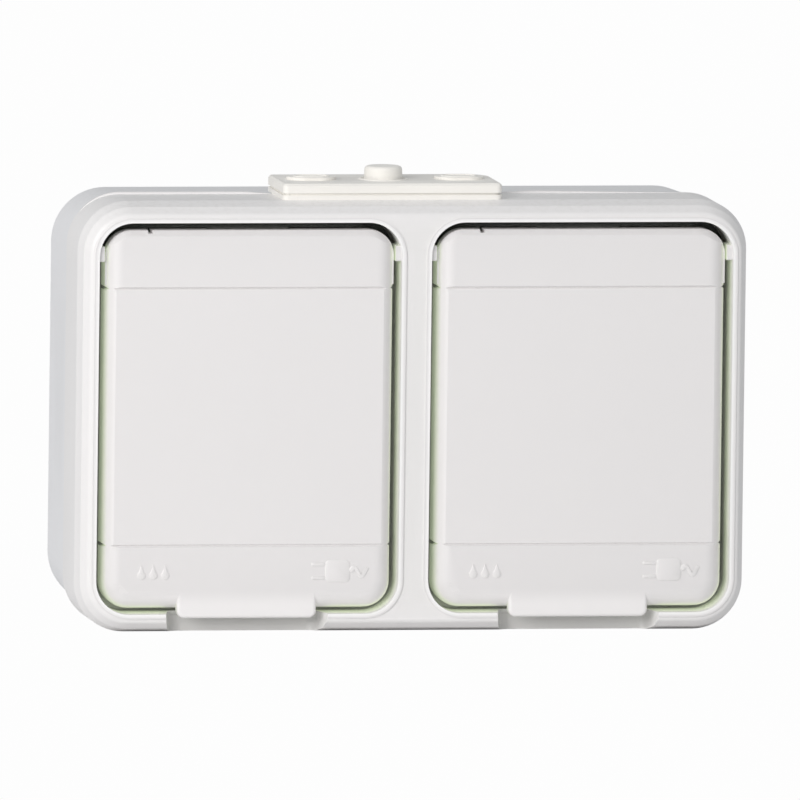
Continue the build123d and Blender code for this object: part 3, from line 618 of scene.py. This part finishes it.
@dataclass(frozen=True)
class SoftElastomer:
    """A matt rubber-like finish."""

    name: str
    colour: Colour
    roughness: float = 0.6
    bloom: float = 0.25
    dust_colour: Colour = (0.6, 0.58, 0.53)
    shade_gain: float = 0.62
    shade_share: float = 0.5
    polish_share: float = 0.25
    bump: float = 0.12
    bump_depth: float = 0.00006

    def make(self) -> bpy.types.Material:
        """Build the material.

        Returns:
            The finished material.
        """
        made, book, shader = fresh_material(self.name)
        skin = place_group(book, EFFECTS.skin, Cloud=0.08, Grain=1.6, Grain_Size=1500.0)
        dust = place_group(book, EFFECTS.dust, Amount=self.bloom)
        rim = place_group(book, EFFECTS.edge, Sharpness=0.7)
        colour = clouded(book, skin, self.colour)
        hollow = book.product(rim.outputs["Hollow"], self.shade_share)
        colour = book.blend(hollow, colour, scaled(self.colour, self.shade_gain))
        colour = book.blend(dust.outputs["Dust"], colour, opaque(self.dust_colour))
        rough = book.sum_of("MULTIPLY_ADD", skin.outputs["Polish"], self.polish_share, self.roughness)
        book.give(shader, Base_Color=colour, Roughness=rough, Sheen_Weight=0.15, Sheen_Roughness=0.5)
        add_bump(book, shader, skin.outputs["Height"], self.bump, self.bump_depth)
        return made


@dataclass(frozen=True)
class WorkedMetal:
    """A stamped, plated or drawn metal finish."""

    name: str
    colour: Colour
    stain: Colour
    roughness: float = 0.32
    stretch: float = 14.0
    edge_gain: float = 1.2
    line_share: float = 0.22
    line_drop: float = 0.1
    bump: float = 0.1
    bump_depth: float = 0.00004

    def make(self) -> bpy.types.Material:
        """Build the material.

        Returns:
            The finished material.
        """
        made, book, shader = fresh_material(self.name)
        grain = place_group(book, EFFECTS.grain, Stretch=self.stretch)
        rim = place_group(book, EFFECTS.edge, Sharpness=0.8)
        mark = book.between(grain.outputs["Stain"], *SPANS.stain)
        colour = book.blend(mark, opaque(self.colour), opaque(self.stain))
        # Painted highlight: outer edges lighter than the metal.
        colour = book.blend(rim.outputs["Edge"], colour, scaled(self.colour, self.edge_gain))
        smooth = self.roughness - self.line_drop
        rough = book.sum_of("MULTIPLY_ADD", grain.outputs["Line"], self.line_share, smooth)
        book.give(shader, Base_Color=colour, Roughness=rough, Metallic=1.0)
        add_bump(book, shader, grain.outputs["Line"], self.bump, self.bump_depth)
        return made


@dataclass(frozen=True)
class Palette:
    """Every finish of the unit, made once."""

    housing: bpy.types.Material = field(
        default_factory=MouldedPlastic("housing_white", (0.84, 0.845, 0.86), 0.42, 0.03).make
    )
    front: bpy.types.Material = field(
        default_factory=MouldedPlastic(
            "frame_white", (0.88, 0.87, 0.865), 0.34, 0.02, gap=1.0, inward=1.0, rim_lines=True
        ).make
    )
    lid: bpy.types.Material = field(
        default_factory=MouldedPlastic(
            "lid_white", (0.815, 0.80, 0.797), 0.36, 0.015, gap=1.0, upward=1.0, rubbed=0.85
        ).make
    )
    insert: bpy.types.Material = field(
        default_factory=MouldedPlastic("insert_white", (0.84, 0.84, 0.83), 0.3).make
    )
    carrier: bpy.types.Material = field(
        default_factory=MouldedPlastic("carrier_grey", (0.27, 0.28, 0.29), 0.55).make
    )
    mark: bpy.types.Material = field(
        default_factory=MouldedPlastic("raised_mark_white", (0.83, 0.815, 0.81), 0.3, 0.015).make
    )
    seal: bpy.types.Material = field(
        default_factory=SoftElastomer("seal_grey", (0.36, 0.36, 0.35)).make
    )
    entry: bpy.types.Material = field(
        default_factory=SoftElastomer("entry_cream", (0.95, 0.93, 0.88), 0.5, 0.08).make
    )
    brass: bpy.types.Material = field(
        default_factory=WorkedMetal("contact_brass", (0.72, 0.55, 0.26), (0.5, 0.36, 0.17)).make
    )
    zinc: bpy.types.Material = field(
        default_factory=WorkedMetal("zinc_steel", (0.66, 0.67, 0.69), (0.5, 0.5, 0.48)).make
    )
    spring: bpy.types.Material = field(
        default_factory=WorkedMetal("spring_steel", (0.6, 0.6, 0.6), (0.42, 0.42, 0.41), 0.25).make
    )


def own_material(obj: bpy.types.Object, material: bpy.types.Material) -> None:
    """Give an object one material for all its faces."""
    obj.data.materials.clear()
    obj.data.materials.append(material)


def mesh_of(name: str, write: Callable[[bmesh.types.BMesh], None]) -> bpy.types.Mesh:
    """Build a mesh with one bmesh function.

    Args:
        name: The mesh's name.
        write: Adds the geometry, in millimetres.

    Returns:
        The mesh, in metres, with smooth faces and sharp edges kept.
    """
    work = bmesh.new()
    write(work)
    bmesh.ops.scale(work, vec=(MM, MM, MM), verts=work.verts)
    bmesh.ops.recalc_face_normals(work, faces=work.faces)
    mesh = bpy.data.meshes.new(name)
    work.to_mesh(mesh)
    work.free()
    mesh.shade_smooth()
    mesh.set_sharp_from_angle(angle=math.radians(SHARP_DEG))
    return mesh


def new_piece(
    name: str, write: Callable[[bmesh.types.BMesh], None], material: bpy.types.Material, body: str
) -> bpy.types.Object:
    """Build a piece that rides on a CAD body.

    Args:
        name: The piece's name.
        write: Adds its geometry, in millimetres.
        material: Its finish.
        body: The CAD body that it rides on.

    Returns:
        The linked object.
    """
    obj = bpy.data.objects.new(name, mesh_of(name, write))
    bpy.context.scene.collection.objects.link(obj)
    own_material(obj, material)
    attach(obj, body)
    log.info("%s rides on %s, %d faces", name, body, len(obj.data.polygons))
    return obj


def skin_rings(
    work: bmesh.types.BMesh, rings: Sequence[Sequence[bmesh.types.BMVert]], endless: bool = False
) -> None:
    """Span faces between rings of points, one ring after the other.

    Args:
        work: The bmesh to add to.
        rings: Rings with the same number of points.
        endless: Whether the last ring joins the first.
    """
    ahead = list(rings[1:]) + ([rings[0]] if endless else [])
    for first, second in zip(rings, ahead):
        for k in range(len(first)):
            m = (k + 1) % len(first)
            work.faces.new((first[k], first[m], second[m], second[k]))


def raise_outline(
    work: bmesh.types.BMesh, outline: Sequence[Flat], base_y: float, face_y: float, slope: float
) -> None:
    """Raise a closed outline off a face that looks forward, with sloping sides.

    Args:
        work: The bmesh to add to.
        outline: Points (x, z) in order round the mark.
        base_y: Where the mark is rooted inside the carrier.
        face_y: Its front face.
        slope: How far the front face is drawn in from the foot.
    """
    count = len(outline)
    centre = Vector((sum(p[0] for p in outline) / count, sum(p[1] for p in outline) / count))
    foot = [work.verts.new((x, base_y, z)) for x, z in outline]
    shoulder_y = face_y + slope * 0.5
    shoulder = [work.verts.new((x, shoulder_y, z)) for x, z in outline]
    top = []
    for x, z in outline:
        inward = centre - Vector((x, z))
        drawn = Vector((x, z)) + inward.normalized() * min(slope, inward.length * 0.4)
        top.append(work.verts.new((drawn.x, face_y, drawn.y)))
    skin_rings(work, (foot, shoulder, top))
    work.faces.new(top)
    work.faces.new(list(reversed(foot)))


def sweep_tube(
    work: bmesh.types.BMesh, path: Sequence[Vector], radius: float, sides: int = 10
) -> None:
    """Sweep a round wire along a path and close its ends.

    Args:
        work: The bmesh to add to.
        path: The wire's centre line.
        radius: The wire's radius.
        sides: Faces round the wire.
    """
    rings = []
    along = (path[1] - path[0]).normalized()
    across = along.orthogonal().normalized()
    for i, point in enumerate(path):
        ahead = path[min(i + 1, len(path) - 1)] - path[max(i - 1, 0)]
        along = ahead.normalized()
        across = (across - along * across.dot(along)).normalized()
        third = along.cross(across)
        ring = []
        for k in range(sides):
            turn = math.tau * k / sides
            offset = across * math.cos(turn) + third * math.sin(turn)
            ring.append(work.verts.new(point + offset * radius))
        rings.append(ring)
    skin_rings(work, rings)
    work.faces.new(list(reversed(rings[0])))
    work.faces.new(rings[-1])


def ring_profile(
    work: bmesh.types.BMesh, centre: Point, profile: Sequence[Flat], steps: int, stretch: float = 0.0
) -> None:
    """Turn a closed profile about an upright axis, or draw it round a slot.

    Args:
        work: The bmesh to add to.
        centre: The axis, in millimetres.
        profile: Points (radius, height) of the closed section.
        steps: Divisions round the axis.
        stretch: Half the straight length of a slot along X.
    """
    rings = []
    for i in range(steps):
        turn = math.tau * (i + 0.5) / steps
        shift = stretch if math.cos(turn) > 0 else -stretch
        ring = []
        for radius, height in profile:
            x = centre[0] + shift + radius * math.cos(turn)
            y = centre[1] + radius * math.sin(turn)
            ring.append(work.verts.new((x, y, centre[2] + height)))
        rings.append(ring)
    skin_rings(work, rings, endless=True)


@dataclass
class Enclosure:
    """The back housing, the frame and the soft parts that seal them."""

    palette: Palette

    def dress(self) -> None:
        """Give the CAD nodes of the enclosure their finishes."""
        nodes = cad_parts
        own_material(nodes["base_housing"], self.palette.housing)
        own_material(nodes["front_frame"], self.palette.front)
        own_material(nodes["housing_seal"], self.palette.seal)
        own_material(nodes["cable_entry_seal"], self.palette.entry)
        own_material(nodes["cover_screws"], self.palette.zinc)
        log.info("enclosure dressed")


@dataclass
class WeatherRidge:
    """Low ridge along the top of the frame's rear edge, fading out to the right."""

    palette: Palette
    half_x: float = 70.5
    half_z: float = 45.0
    corner_r: float = 10.4
    height: float = 0.5
    width: float = 0.9
    gaps: Flat = (-27.9, 19.5)
    fade_deg: float = 50.0
    steps: int = 12
    root: float = 0.15

    def path(self, way: int) -> list[tuple[Flat, Flat, float]]:
        """Points from the entry outwards, on the left round the top corner.

        Args:
            way: -1 for the left half and 1 for the right.

        Returns:
            Each point (x, z), its outward direction and its share of the height.
        """
        start = self.gaps[0] if way < 0 else self.gaps[1]
        bend = way * (self.half_x - self.corner_r)
        found = []
        for i in range(self.steps + 1):
            t = i / self.steps
            share = min(1.0, t * self.steps / 2.0 + 0.05)
            if way > 0:
                share = min(share, 1.25 * (1.0 - t) + 0.05)
            found.append(((start + (bend - start) * t, self.half_z), (0.0, 1.0), share))
        if way > 0:
            return found
        for i in range(1, self.steps + 1):
            turn = math.radians(self.fade_deg) * i / self.steps
            out = (way * math.sin(turn), math.cos(turn))
            centre_z = self.half_z - self.corner_r
            point = (bend + out[0] * self.corner_r, centre_z + out[1] * self.corner_r)
            found.append((point, out, 1.0 - i / self.steps * 0.95))
        return found

    def build(self) -> None:
        """Build both halves as one piece."""

        def ridge(work: bmesh.types.BMesh) -> None:
            """Write a rounded section along each half."""
            back = PLACE.parting_y
            ahead = back - self.width
            for way in (-1, 1):
                rings = []
                for point, out, share in self.path(way):
                    high = self.height * share
                    section = [(back, -self.root), (back, high * 0.7), (back - 0.2, high)]
                    section += [(ahead + 0.25, high), (ahead, high * 0.75), (ahead, -self.root)]
                    ring = []
                    for y, h in section:
                        ring.append(work.verts.new((point[0] + out[0] * h, y, point[1] + out[1] * h)))
                    rings.append(ring)
                skin_rings(work, rings)
                work.faces.new(rings[0])
                work.faces.new(list(reversed(rings[-1])))

        piece = new_piece("weather_ridge", ridge, self.palette.front, "housing")


@dataclass
class CableEntry:
    """Soft ridges on the membranes of the cable entry."""

    palette: Palette
    shift: float = 15.6
    steps: int = 64
    ridge_r: float = 2.1
    ridge_half: float = 1.5
    foot_r: float = 4.9
    top_z: float = PLACE.entry_top_z + 0.6

    def build(self) -> None:
        """Build the ridges on both oval membranes and the nub's ring."""

        def ridges(work: bmesh.types.BMesh) -> None:
            """Write both oval ridges and the ring at the nub's foot."""
            section = [(-0.3, -0.15), (0.3, -0.15), (0.22, 0.14), (0.0, 0.22), (-0.22, 0.14)]
            for way in (-1, 1):
                centre = (PLACE.entry_x + way * self.shift, PLACE.entry_y, self.top_z)
                profile = [(self.ridge_r + r, h) for r, h in section]
                ring_profile(work, centre, profile, self.steps, self.ridge_half)
            foot = (PLACE.nub_x, PLACE.entry_y, PLACE.entry_top_z)
            ring_profile(work, foot, [(self.foot_r + r, h) for r, h in section], self.steps)

        piece = new_piece("entry_membrane_ridges", ridges, self.palette.entry, "housing")


@dataclass
class Socket:
    """The inner parts of one socket, hidden until its lid is open."""

    palette: Palette
    side: Side

    def dress(self) -> None:
        """Give the CAD nodes of this socket their finishes."""
        finishes = {
            "socket_cup": self.palette.insert,
            "contact_carrier": self.palette.carrier,
            "line_contact": self.palette.brass,
            "neutral_contact": self.palette.brass,
            "earth_strap": self.palette.zinc,
            "terminal_clamps": self.palette.brass,
            "terminal_screws": self.palette.zinc,
            "insert_screws": self.palette.zinc,
            "centre_screw": self.palette.zinc,
            "hinge_pin": self.palette.spring,
            "lid": self.palette.lid,
            "lid_seal": self.palette.seal,
        }
        for name, material in finishes.items():
            own_material(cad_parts[name + "_" + self.side.word], material)
        log.info("%s socket dressed", self.side.word)

    def build_marks(self) -> None:
        """Raise the general earth sign on the floor of the recess."""
        centre_x = PLACE.gang_x * self.side.value
        front = PLACE.recess_floor_y

        def sign(work: bmesh.types.BMesh) -> None:
            """Write the upright and the three bars of the earth sign."""
            bars = [(0.0, -9.6, 0.22, 1.5), (0.0, -11.2, 2.0, 0.22)]
            bars += [(0.0, -12.1, 1.3, 0.22), (0.0, -13.0, 0.6, 0.22)]
            for x, z, half_x, half_z in bars:
                outline = rounded_box(centre_x + x, z, half_x, half_z, 0.18)
                raise_outline(work, outline, front + 0.1, front - 0.25, 0.1)

        piece = new_piece("earth_sign_" + self.side.word, sign, self.palette.insert, "housing")


def rounded_box(x: float, z: float, half_x: float, half_z: float, radius: float) -> list[Flat]:
    """Outline of a rounded rectangle.

    Args:
        x: Its centre along X.
        z: Its centre along Z.
        half_x: Half its width.
        half_z: Half its height.
        radius: Radius of its corners.

    Returns:
        Points in order round the outline.
    """
    points = []
    steps = 5
    for corner, (sx, sz) in enumerate(((1, 1), (-1, 1), (-1, -1), (1, -1))):
        for i in range(steps + 1):
            turn = math.pi / 2.0 * (corner + i / steps)
            px = x + sx * (half_x - radius) + radius * math.cos(turn)
            pz = z + sz * (half_z - radius) + radius * math.sin(turn)
            points.append((px, pz))
    return points


def ribbon(path: Sequence[Flat], half: float) -> list[Flat]:
    """Outline of a band of even width along a path.

    Args:
        path: The band's centre line.
        half: Half its width.

    Returns:
        Points in order round the band.
    """
    left, right = [], []
    for i, point in enumerate(path):
        ahead = Vector(path[min(i + 1, len(path) - 1)]) - Vector(path[max(i - 1, 0)])
        normal = Vector((-ahead.y, ahead.x)).normalized() * half
        left.append((point[0] + normal.x, point[1] + normal.y))
        right.append((point[0] - normal.x, point[1] - normal.y))
    return left + list(reversed(right))


@dataclass
class Lid:
    """One lid: the raised signs on its face and the grip behind its tab."""

    palette: Palette
    side: Side
    root: float = 0.15
    proud: float = 0.22
    drop_x: Sequence[float] = (-22.3, -19.8, -17.3)
    drop_z: float = -32.7
    drop_r: float = 0.85
    drop_start_deg: float = 130.0
    drop_turn_deg: float = 280.0
    drop_tip: float = 2.5
    plug_x: float = 13.5
    plug_z: float = -31.95
    pip_r: float = 0.45
    pip_ahead: float = 4.0
    pip_below: float = 1.0
    grip_x: Sequence[float] = (-12.5, -6.0, 0.0, 6.0, 12.5)
    grip_y: float = -47.6
    grip_z: float = -40.35
    grip_pitch: float = 0.55
    grip_r: float = 0.22

    @property
    def centre_x(self) -> float:
        """Middle of the lid along X."""
        return PLACE.gang_x * self.side.value

    def drop(self, x: float) -> list[Flat]:
        """Outline of one water drop.

        Args:
            x: The drop's middle.

        Returns:
            Points in order round the drop.
        """
        points = []
        steps = 20
        for i in range(steps + 1):
            turn = math.radians(self.drop_start_deg) + math.radians(self.drop_turn_deg) * i / steps
            points.append((x + self.drop_r * math.cos(turn), self.drop_z + self.drop_r * math.sin(turn)))
        points.append((x, self.drop_z + self.drop_r * self.drop_tip))
        return points

    def plug(self) -> list[list[Flat]]:
        """Outlines of a plain side view of a plug with its lead.

        Returns:
            One outline for each raised part.
        """
        x = self.centre_x + self.plug_x
        z = self.plug_z
        parts = []
        for level in (1.4, -1.4):
            parts.append(rounded_box(x + 1.5, z + level, 1.5, 0.34, 0.28))
        parts.append(rounded_box(x + 5.5, z, 2.6, 2.3, 0.95))
        lead = []
        steps = 22
        for i in range(steps + 1):
            t = i / steps
            lead.append((x + 8.0 + 3.8 * t, z + 1.3 * math.sin(math.tau * t * 1.1) * t ** 0.3))
        parts.append(ribbon(lead, 0.36))
        return parts

    def build(self) -> None:
        """Build the raised signs and the grip ridges."""
        front = PLACE.lid_face_y

        def signs(work: bmesh.types.BMesh) -> None:
            """Write the drops, the plug and the pip at the top edge."""
            for x in self.drop_x:
                outline = self.drop(self.centre_x + x)
                raise_outline(work, outline, front + self.root, front - self.proud, 0.12)
            for outline in self.plug():
                raise_outline(work, outline, front + self.root, front - self.proud, 0.25)
            top = (self.centre_x, PLACE.hinge_y - self.pip_ahead, PLACE.lid_top_z - self.pip_below)
            bmesh.ops.create_icosphere(
                work, subdivisions=3, radius=self.pip_r, matrix=Matrix.Translation(top)
            )

        def ridges(work: bmesh.types.BMesh) -> None:
            """Write the ridges behind the tab."""
            for i in range(3):
                z = self.grip_z - i * self.grip_pitch
                line = [Vector((self.centre_x + x, self.grip_y, z)) for x in self.grip_x]
                sweep_tube(work, line, self.grip_r, 8)

        word = self.side.word
        piece = new_piece("raised_signs_" + word, signs, self.palette.mark, "lid_" + word)
        piece = new_piece("tab_grip_" + word, ridges, self.palette.lid, "lid_" + word)


@dataclass
class TorsionSpring:
    """The wound spring that closes one lid, with a leg on each body."""

    palette: Palette
    side: Side
    coil_r: float = 2.2
    wire_r: float = 0.35
    half: float = 6.4
    turns: int = 14
    steps: int = 22
    leg_end_z: float = 24.0

    def build(self) -> None:
        """Build the coil with its fixed leg, and the leg that turns with the lid."""
        centre_x = PLACE.gang_x * self.side.value
        axis = Vector((0.0, PLACE.hinge_y, PLACE.hinge_z))

        def coil(work: bmesh.types.BMesh) -> None:
            """Write the coil from the fixed leg to the moving leg."""
            start = -math.pi / 2.0
            end = math.pi
            total = self.turns * math.tau + (end - start) % math.tau
            count = int(self.steps * total / math.tau)
            path = [Vector((centre_x - self.half, PLACE.floor_y - 0.05, axis.z - self.coil_r))]
            path.append(Vector((centre_x - self.half, axis.y + 0.8, axis.z - self.coil_r)))
            for i in range(count + 1):
                t = i / count
                turn = start - total * t
                x = centre_x - self.half + 2.0 * self.half * t
                y = axis.y + self.coil_r * math.cos(turn)
                z = axis.z + self.coil_r * math.sin(turn)
                path.append(Vector((x, y, z)))
            sweep_tube(work, path, self.wire_r, 10)

        def leg(work: bmesh.types.BMesh) -> None:
            """Write the leg that runs down inside the lid."""
            x = centre_x + self.half
            y = axis.y - self.coil_r
            path = [Vector((x, y, z)) for z in (axis.z + 0.2, 31.0, 28.0, self.leg_end_z)]
            sweep_tube(work, path, self.wire_r, 10)

        word = self.side.word
        piece = new_piece("spring_coil_" + word, coil, self.palette.spring, "housing")
        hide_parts("lid_spring_" + word)
        piece = new_piece("spring_leg_" + word, leg, self.palette.spring, "lid_" + word)


@dataclass
class Wiring:
    """The link bars and the earth terminal behind both sockets."""

    palette: Palette

    def dress(self) -> None:
        """Give the CAD nodes of the links their finishes."""
        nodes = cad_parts
        for name in ("line_link", "neutral_link", "earth_link", "earth_terminal"):
            own_material(nodes[name], self.palette.brass)
        own_material(nodes["earth_terminal_screw"], self.palette.zinc)
        log.info("links dressed")


def smooth_frame(nodes: Iterable[bpy.types.Object]) -> None:
    """Shade the CAD nodes smooth between their sharp edges.

    Args:
        nodes: The CAD node objects.
    """
    for obj in nodes:
        obj.data.shade_smooth()
        obj.data.set_sharp_from_angle(angle=math.radians(CAD_SHARP_DEG))


def split_for_camera(
    book: NodeBook, unseen: bpy.types.NodeSocket, seen: bpy.types.NodeSocket, output: bpy.types.Node
) -> None:
    """Show one shader to the camera, and let another light the scene.

    Args:
        book: The node book of the material or world.
        unseen: The shader that lights the scene.
        seen: The shader that the camera meets.
        output: The tree's output node.
    """
    path = book.add("ShaderNodeLightPath")
    mix = book.add("ShaderNodeMixShader")
    for slot, value in zip(mix.inputs, (path.outputs["Is Camera Ray"], unseen, seen)):
        book.join(value, slot)
    book.give(output, Surface=mix.outputs["Shader"])


@dataclass
class Studio:
    """Floor, world, light and camera, set to the photograph's framing."""

    azimuth: float = -9.38
    elevation: float = 5.74
    roll: float = 0.727
    distance: float = 7.0
    pixels_per_mm: float = 4.803
    image_px: float = 800.0
    aim_mm: Flat = (-2.183, 3.108)
    edge_y: float = -44.0
    sensor_mm: float = 36.0
    clip: Flat = (0.5, 20.0)
    backdrop: float = 0.985
    soft_colour: Colour = (0.97, 0.985, 1.0)
    soft_strength: float = 0.5
    key_place: Point = (-0.794, -1.031, 0.462)
    key_size: Flat = (0.81, 0.68)
    key_power: float = 9.8
    key_colour: Colour = (1.0, 0.975, 0.965)
    key_aim: Point = (0.0, -0.03, 0.0)

    def build_floor(self) -> None:
        """Lay a plain pale floor under the unit."""

        def disc(work: bmesh.types.BMesh) -> None:
            """Write a round sheet with a fine rim."""
            profile = [(0.5, 0.0), (500.0, 0.0), (900.0, 0.0), (900.5, -1.0), (0.5, -1.0)]
            ring_profile(work, (0.0, -25.0, PLACE.bottom_z), profile, 96)

        mesh = mesh_of("floor", disc)
        floor = bpy.data.objects.new("floor", mesh)
        bpy.context.scene.collection.objects.link(floor)
        made, book, shader = fresh_material("floor_white")
        book.give(shader, Base_Color=(0.9, 0.9, 0.9, 1.0), Roughness=0.9)
        glow = book.add("ShaderNodeEmission")
        book.give(glow, Color=opaque(WHITE), Strength=self.backdrop)
        output = [n for n in made.node_tree.nodes if n.type == "OUTPUT_MATERIAL"][0]
        split_for_camera(book, shader.outputs["BSDF"], glow.outputs["Emission"], output)
        own_material(floor, made)

    def build_world(self) -> None:
        """Set a white surround that lights the unit softly."""
        world = bpy.data.worlds.new("white_studio")
        bpy.context.scene.world = world
        world.use_nodes = True
        world.node_tree.nodes.clear()
        book = NodeBook(world.node_tree)
        seen = book.add("ShaderNodeBackground")
        book.give(seen, Color=opaque(WHITE), Strength=self.backdrop)
        soft = book.add("ShaderNodeBackground")
        book.give(soft, Color=opaque(self.soft_colour), Strength=self.soft_strength)
        output = book.add("ShaderNodeOutputWorld")
        split_for_camera(book, soft.outputs["Background"], seen.outputs["Background"], output)

    def build_light(self) -> None:
        """Hang the soft key light in front, at the left and above."""
        data = bpy.data.lights.new("key_light", "AREA")
        data.shape = "RECTANGLE"
        data.size, data.size_y = self.key_size
        data.energy = self.key_power
        data.color = self.key_colour
        lamp = bpy.data.objects.new("key_light", data)
        lamp.location = self.key_place
        ahead = Vector(self.key_aim) - Vector(self.key_place)
        lamp.rotation_euler = ahead.to_track_quat("-Z", "Y").to_euler()
        bpy.context.scene.collection.objects.link(lamp)

    def build_camera(self) -> None:
        """Set the camera at the photograph's angle."""
        data = bpy.data.cameras.new("camera")
        camera = bpy.data.objects.new("camera", data)
        bpy.context.scene.collection.objects.link(camera)
        az, el = math.radians(self.azimuth), math.radians(self.elevation)
        away = Vector((math.sin(az) * math.cos(el), -math.cos(az) * math.cos(el), math.sin(el)))
        right = Vector((math.cos(az), math.sin(az), 0.0))
        up = away.cross(right)
        if up.z < 0:
            up = -up
        aim = Vector((0.0, self.edge_y * MM, 0.0))
        aim += right * (self.aim_mm[0] * MM) + up * (self.aim_mm[1] * MM)
        camera.location = aim + away * self.distance
        level = (-away).to_track_quat("-Z", "Y").to_matrix()
        camera.rotation_euler = (level @ Matrix.Rotation(math.radians(self.roll), 3, "Z")).to_euler()
        width = self.image_px / self.pixels_per_mm * MM
        data.sensor_width = self.sensor_mm
        data.lens = self.sensor_mm * self.distance / width
        data.clip_start, data.clip_end = self.clip
        bpy.context.scene.camera = camera

    def build(self) -> None:
        """Build the whole studio."""
        self.build_floor()
        self.build_world()
        self.build_light()
        self.build_camera()
        bpy.context.scene.view_settings.view_transform = "Standard"
        bpy.context.scene.view_settings.look = "None"
        log.info("studio built")


def main() -> None:
    """Dress the CAD nodes, build the added pieces and set the studio."""
    logging.basicConfig(level=logging.INFO, format="%(name)s: %(message)s")
    palette = Palette()
    smooth_frame(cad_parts.values())
    Enclosure(palette).dress()
    WeatherRidge(palette).build()
    CableEntry(palette).build()
    Wiring(palette).dress()
    for side in Side:
        socket = Socket(palette, side)
        socket.dress()
        socket.build_marks()
        Lid(palette, side).build()
        TorsionSpring(palette, side).build()
    Studio().build()


if __name__ == "__main__":
    main()
